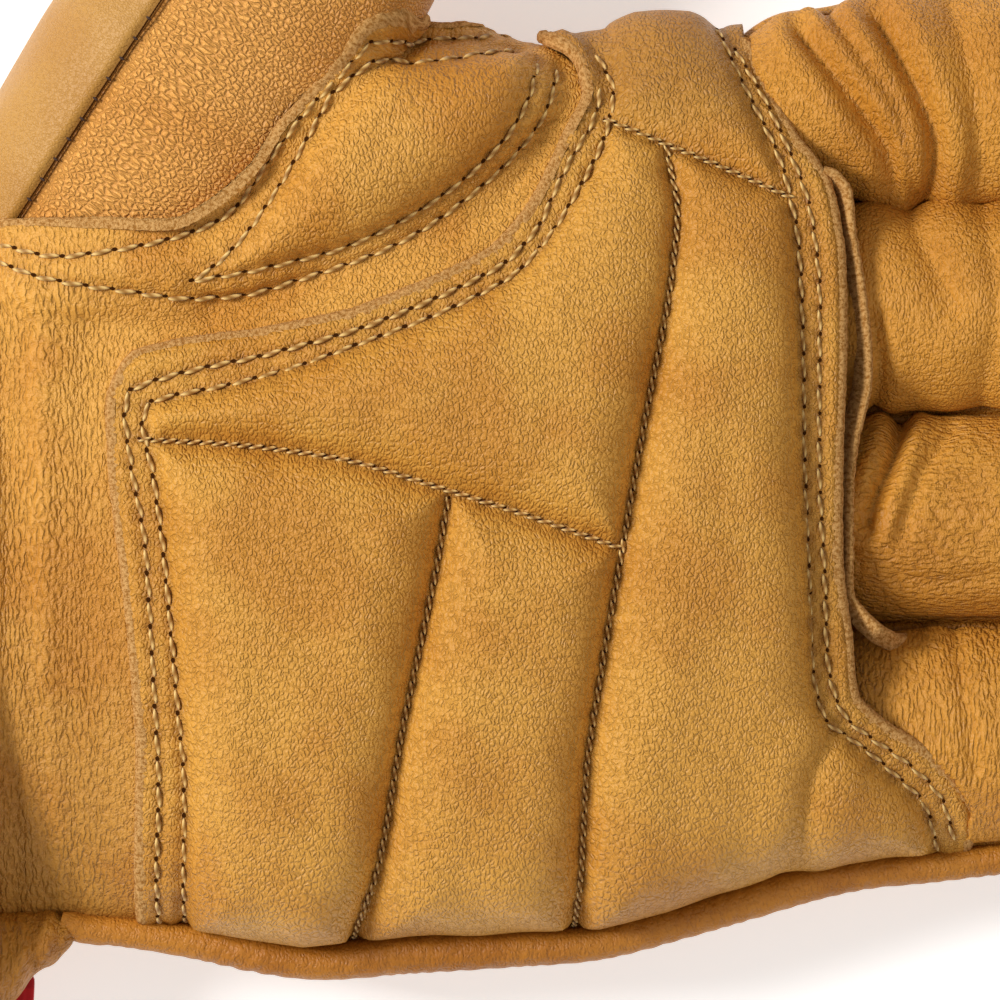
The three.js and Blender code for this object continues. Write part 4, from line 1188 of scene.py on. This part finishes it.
for name, panel in RING_PANELS.items():
    bm, u, v = grid_mesh(*panel["grid"])
    x = panel["x"][0] + (panel["x"][1] - panel["x"][0]) * u
    angle = math.radians(panel["angles"][1]) - math.radians(panel["angles"][1] - panel["angles"][0]) * v
    points = ring_place(panel["sections"], x, angle)
    outward = np.stack([0 * x, points[:, 1] - RING_MIDDLE[0], points[:, 2] - RING_MIDDLE[1]], -1)
    outward[:, 1] *= SIDEWAYS_SHARE
    outward /= np.linalg.norm(outward, axis=1, keepdims=True)
    waves = wobble(points[:, 0], angle * RING_ROUND["waves"], size=17, seed=51)
    swell = (panel["grow"] + HIDE_WAVES * waves) * fade_in(points[:, 2], 0, FLOOR_FADE)
    points += outward * swell[:, None]
    wrist_creases = 0.2 + 0.7 * bell(x + 70, 14)
    finish_piece(name, bm, points, (x, angle * RING_ROUND["hide"]), (wrist_creases, 0.15, 0), panel["hide"],
                 panel["node"], wall=panel["wall"])

# %% [markdown]
# ## The welt and the gathered roll
# The welt is a strip of leather rolled round a cord and sewn into the seam along the little finger's side.
# The cuff's leather is gathered into a fatter roll where the welt starts. A curve with a bevel would give
# an even tube, but here the radius and the wrinkles change along it, so both are grids wrapped round a
# table.

# %% Roll the welt and the cuff's gathered leather
WELT = {
    "x": [-55.5, -53, -48.8, -37.5, -31.1, -24.4, -12, 0.8, 12.5, 22.1, 31.6, 39.6, 46, 54,
          62.5, 74, 88, 101],
    "y": [-53.2, -54.2, -54.6, -56.2, -57.4, -58.5, -57.5, -56.8, -56.1, -53.6, -50.9, -48.6, -47.4, -46.7,
          -45.7, -44.9, -43.4, -39.6],
    "z": [21, 20, 19.5] + [19] * 6 + [18.6, 18, 17.6, 17.2, 17, 16.8, 17.6, 19.6, 22.4],
    "radius": [1.2, 1.8, 1.9, 2.2, 2.4, 2.3, 2.6, 2.5, 2.2, 2.25, 2.25, 2.25, 2.1, 2, 2, 1.9, 1.7, 1.2],
}
ROLL = {
    "x": [-72, -66, -62.5, -60.5, -59, -57, -55.5, -54.2, -53.6],
    "y": [-59, -59, -58, -57.2, -56, -55.5, -55.1, -54.9, -54.8],
    "z": [16, 18, 18.6, 19.2, 19.6, 20, 20, 20, 20],
    "radius": [6.4, 6.7, 6.3, 5.2, 4.1, 3.6, 2.6, 1.4, 0.1],
}
WELT_GIRTH = 14
ROLL_GIRTH = 26


def welt_place(x, angle):
    y, z, radius = read_table(WELT, x, "y z radius")
    slope = read_table(WELT, x + 0.5, "y")[0] - read_table(WELT, x - 0.5, "y")[0]
    waves = np.sin(x * 2.6 + 3 * angle + 5 * wobble(x, angle, size=12, seed=61))
    r = radius + 0.05 * waves * (1 + wobble(x, angle, size=17, seed=62))
    side = r * np.cos(angle)
    return np.stack([x - side * slope, y + side, z + r * np.sin(angle)], -1)


def roll_place(x, angle):
    y, z, radius = read_table(ROLL, x, "y z radius")
    waves = np.sin(x * 2.2 + 2 * angle + 4 * wobble(x, angle * 2, size=8, seed=81))
    r = radius + 0.12 * waves * np.minimum(1, radius / 2)
    return np.stack([x, y + r * np.cos(angle), z + r * np.sin(angle)], -1)


bm, u, v = grid_mesh(420, 26)
x = WELT["x"][0] + (WELT["x"][-1] - WELT["x"][0]) * u
finish_piece("side_welt_leather", bm, welt_place(x, -math.tau * v), (x, v * WELT_GIRTH), (0.5, 0, 0),
             WELT_HIDE, "side_welt", wall=0)
bm, u, v = grid_mesh(90, 40)
x = ROLL["x"][0] + (ROLL["x"][-1] - ROLL["x"][0]) * np.sin(u * QUARTER)
# The roll's dye is darker towards its thin end at the welt.
finish_piece("cuff_gathered_roll", bm, roll_place(x, -math.tau * v), (x, v * ROLL_GIRTH),
             (0.7, 0, 0.5 * bell(u - 1, 0.12)), CUFF_HIDE, wall=0)

# %% [markdown]
# ## The raw strip at the finger bases
# This strip is the seam allowance of the two middle fingers, which stands up raw where they join the palm.
# It is made as the raw edges are, with a taller profile, and its end dives under the little finger's
# leather.

# %% The raw strip where the middle fingers join the palm
STRIP_LINE = [
    (40.6, 41.4), (42, 41), (43.4, 39.4), (44.2, 34), (45.4, 26.5), (46.2, 20), (46.2, 14.2), (44.8, 8.6),
    (44, 3), (43.9, -6), (44.2, -12.6), (46.1, -14.8), (48.2, -16.6), (50.2, -17.5), (51.6, -17.4)]
STRIP_PROFILE = {
    "out": [-1.8, -1.7, -1.2, -0.6, 0.0, 0.4, 0.6, 0.7],
    "down": [5.0, 3.0, 2.0, 0.8, 0.0, 0.15, 0.9, 3.5],
}
STRIP_TOP = 29.6
END_DIVE = 9
bm, at, row, places, (out, down) = strip_grid(smooth_line(STRIP_LINE, STRIP_STEP), STRIP_PROFILE)
x, y, left_x, left_y = places
across_share = row / row.max()
out = out + FRAY_OUT * wobble(x * FRAY_STRETCH, y * FRAY_STRETCH + across_share, size=3, seed=72)
dive = END_DIVE * fade_in(at / at.max(), 0.93, 0.07) ** 1.5
z = STRIP_TOP + 0.5 * wobble(x, y, size=11, seed=71) - down - dive
points = np.stack([x + out * left_x, y + out * left_y, z], -1)
finish_piece("finger_base_raw_strip", bm, points, (at * STRIP_STEP, across_share * 3), (0, 0, 0),
             RAW_EDGE, "finger_base_strip", wall=0)

# %% [markdown]
# ## The two tapes
# A striped tape and a plain red tab are caught in the cuff's side seam. Each starts from bmesh's cube in
# the place of its solid. Its root follows the seam, its loose end is bent, and Subdivision Surface rounds
# it off.

# %% The striped tape and the red tab
TAPE_CAUGHT = 1.0
TAPE_DRAG = 0.6
TAPE_CUTS = 6


def woven_material(name, colours, stripe):
    """A woven tape: matt, with the ridges of its weave 1 mm apart, and bands of its two colours."""
    material, shader, node = new_material(name, 0.8, 0.25, 0.3)
    place = node("TexCoord")["Object"]
    weave = node("TexWave", {"Vector": place, "Scale": 320.0, "Distortion": 0.5}, bands_direction="X")["Fac"]
    bands = node("TexWave", {"Vector": place, "Scale": stripe}, bands_direction="Y")["Fac"]
    crisp = node("MapRange", {0: bands, 1: 0.35, 2: 0.65}, interpolation_type="SMOOTHSTEP")[0]
    colour = node("Mix", {0: crisp, 6: linear(colours[0]), 7: linear(colours[1])}, data_type="RGBA")[2]
    link_surface(node, shader, colour, weave, strength=0.6, depth=0.1)
    return material


def tape(name, node, material, bend):
    """A soft tape in the place of its solid. Its root follows the cuff's seam, and its loose end is bent."""
    low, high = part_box(node)
    bm = bmesh.new()
    bmesh.ops.create_cube(bm, size=1)
    bmesh.ops.scale(bm, vec=high - low, verts=bm.verts)
    bmesh.ops.translate(bm, vec=(low + high) / 2, verts=bm.verts)
    bmesh.ops.subdivide_edges(bm, edges=bm.edges, cuts=TAPE_CUTS, use_grid_fill=True)
    for vert in bm.verts:
        out = (high.y - vert.co.y) / (high.y - low.y)
        seam = read_table(CUFF_SECTIONS, vert.co.x / MM - SHIFT[0], "ulnar")[0] + TAPE_CAUGHT
        vert.co.y = low.y + (1 - out) * ((seam + SHIFT[1]) * MM - low.y)
        vert.co.z += bend * MM * out * out
        vert.co.x -= TAPE_DRAG * MM * out * out
    mesh = bpy.data.meshes.new(name)
    bm.to_mesh(mesh)
    bm.free()
    piece = sew_on(name, mesh, material, node)
    round_off = piece.modifiers.new("round off", "SUBSURF")
    round_off.levels = round_off.render_levels = 1


RED_TAPE = woven_material("red woven tape", ("#c4202a", "#ad1a24"), 60.0)
tape("red_woven_tab", "red_tab", RED_TAPE, bend=0.8)
STRIPED_TAPE = woven_material("striped tape", ("#8a7d6a", "#5c4a38"), 150.0)
tape("striped_side_tape", "side_tape", STRIPED_TAPE, bend=-1.0)

# %% [markdown]
# ## Stage, light and camera
# The glove lies on a pale table under a soft light from the left, as a product is photographed. The table
# glows a little, so that the shadows on it stay pale. The camera looks straight down from about a metre, so
# the picture is nearly free of perspective.

# %% Floor, lights and camera
TABLE_GLOW = 0.45
SKY_GLOW = 0.4
PALM_MIDDLE = (SHIFT[0] * MM, SHIFT[1] * MM, 0.03)
LIGHTS = {
    "key": {"place": (-0.8, 0.2, 0.75), "size": 0.32, "watts": 12},
    "fill": {"place": (1.6, -1.2, 1.8), "size": 1.6, "watts": 8},
}
LENS = 300
SENSOR = 36
VIEW_WIDTH = 0.125
VIEW_HEIGHT_Z = 0.034

table_skin, shader, _ = new_material("white acrylic, lit from below", 0.9, 0.2, colour="#f4f4f4")
shader.inputs["Emission Color"].default_value = (1, 1, 1, 1)
shader.inputs["Emission Strength"].default_value = TABLE_GLOW
bm = bmesh.new()
bmesh.ops.create_grid(bm, x_segments=1, y_segments=1, size=3)
floor_mesh = bpy.data.meshes.new("table_top")
bm.to_mesh(floor_mesh)
bm.free()
add_object("table_top", floor_mesh, table_skin)

for name, lit in LIGHTS.items():
    light = bpy.data.lights.new(name, "AREA")
    light.shape, light.size, light.size_y = "RECTANGLE", lit["size"], lit["size"]
    light.energy = lit["watts"]
    lamp = bpy.data.objects.new(name, light)
    lamp.location = lit["place"]
    lamp.rotation_euler = (Vector(PALM_MIDDLE) - Vector(lit["place"])).to_track_quat("-Z", "Y").to_euler()
    bpy.context.scene.collection.objects.link(lamp)

world = bpy.data.worlds.new("studio")
bpy.context.scene.world = world
world.use_nodes = True
world.node_tree.nodes["Background"].inputs[0].default_value = linear("#fffaf4")
world.node_tree.nodes["Background"].inputs[1].default_value = SKY_GLOW
bpy.context.scene.view_settings.view_transform = "Standard"

camera_data = bpy.data.cameras.new("camera")
camera_data.lens = LENS
camera_data.sensor_width = SENSOR
camera_data.clip_end = 20
camera = bpy.data.objects.new("camera", camera_data)
camera.location = (SHIFT[0] * MM, SHIFT[1] * MM, VIEW_HEIGHT_Z + VIEW_WIDTH * LENS / SENSOR)
bpy.context.scene.collection.objects.link(camera)
bpy.context.scene.camera = camera
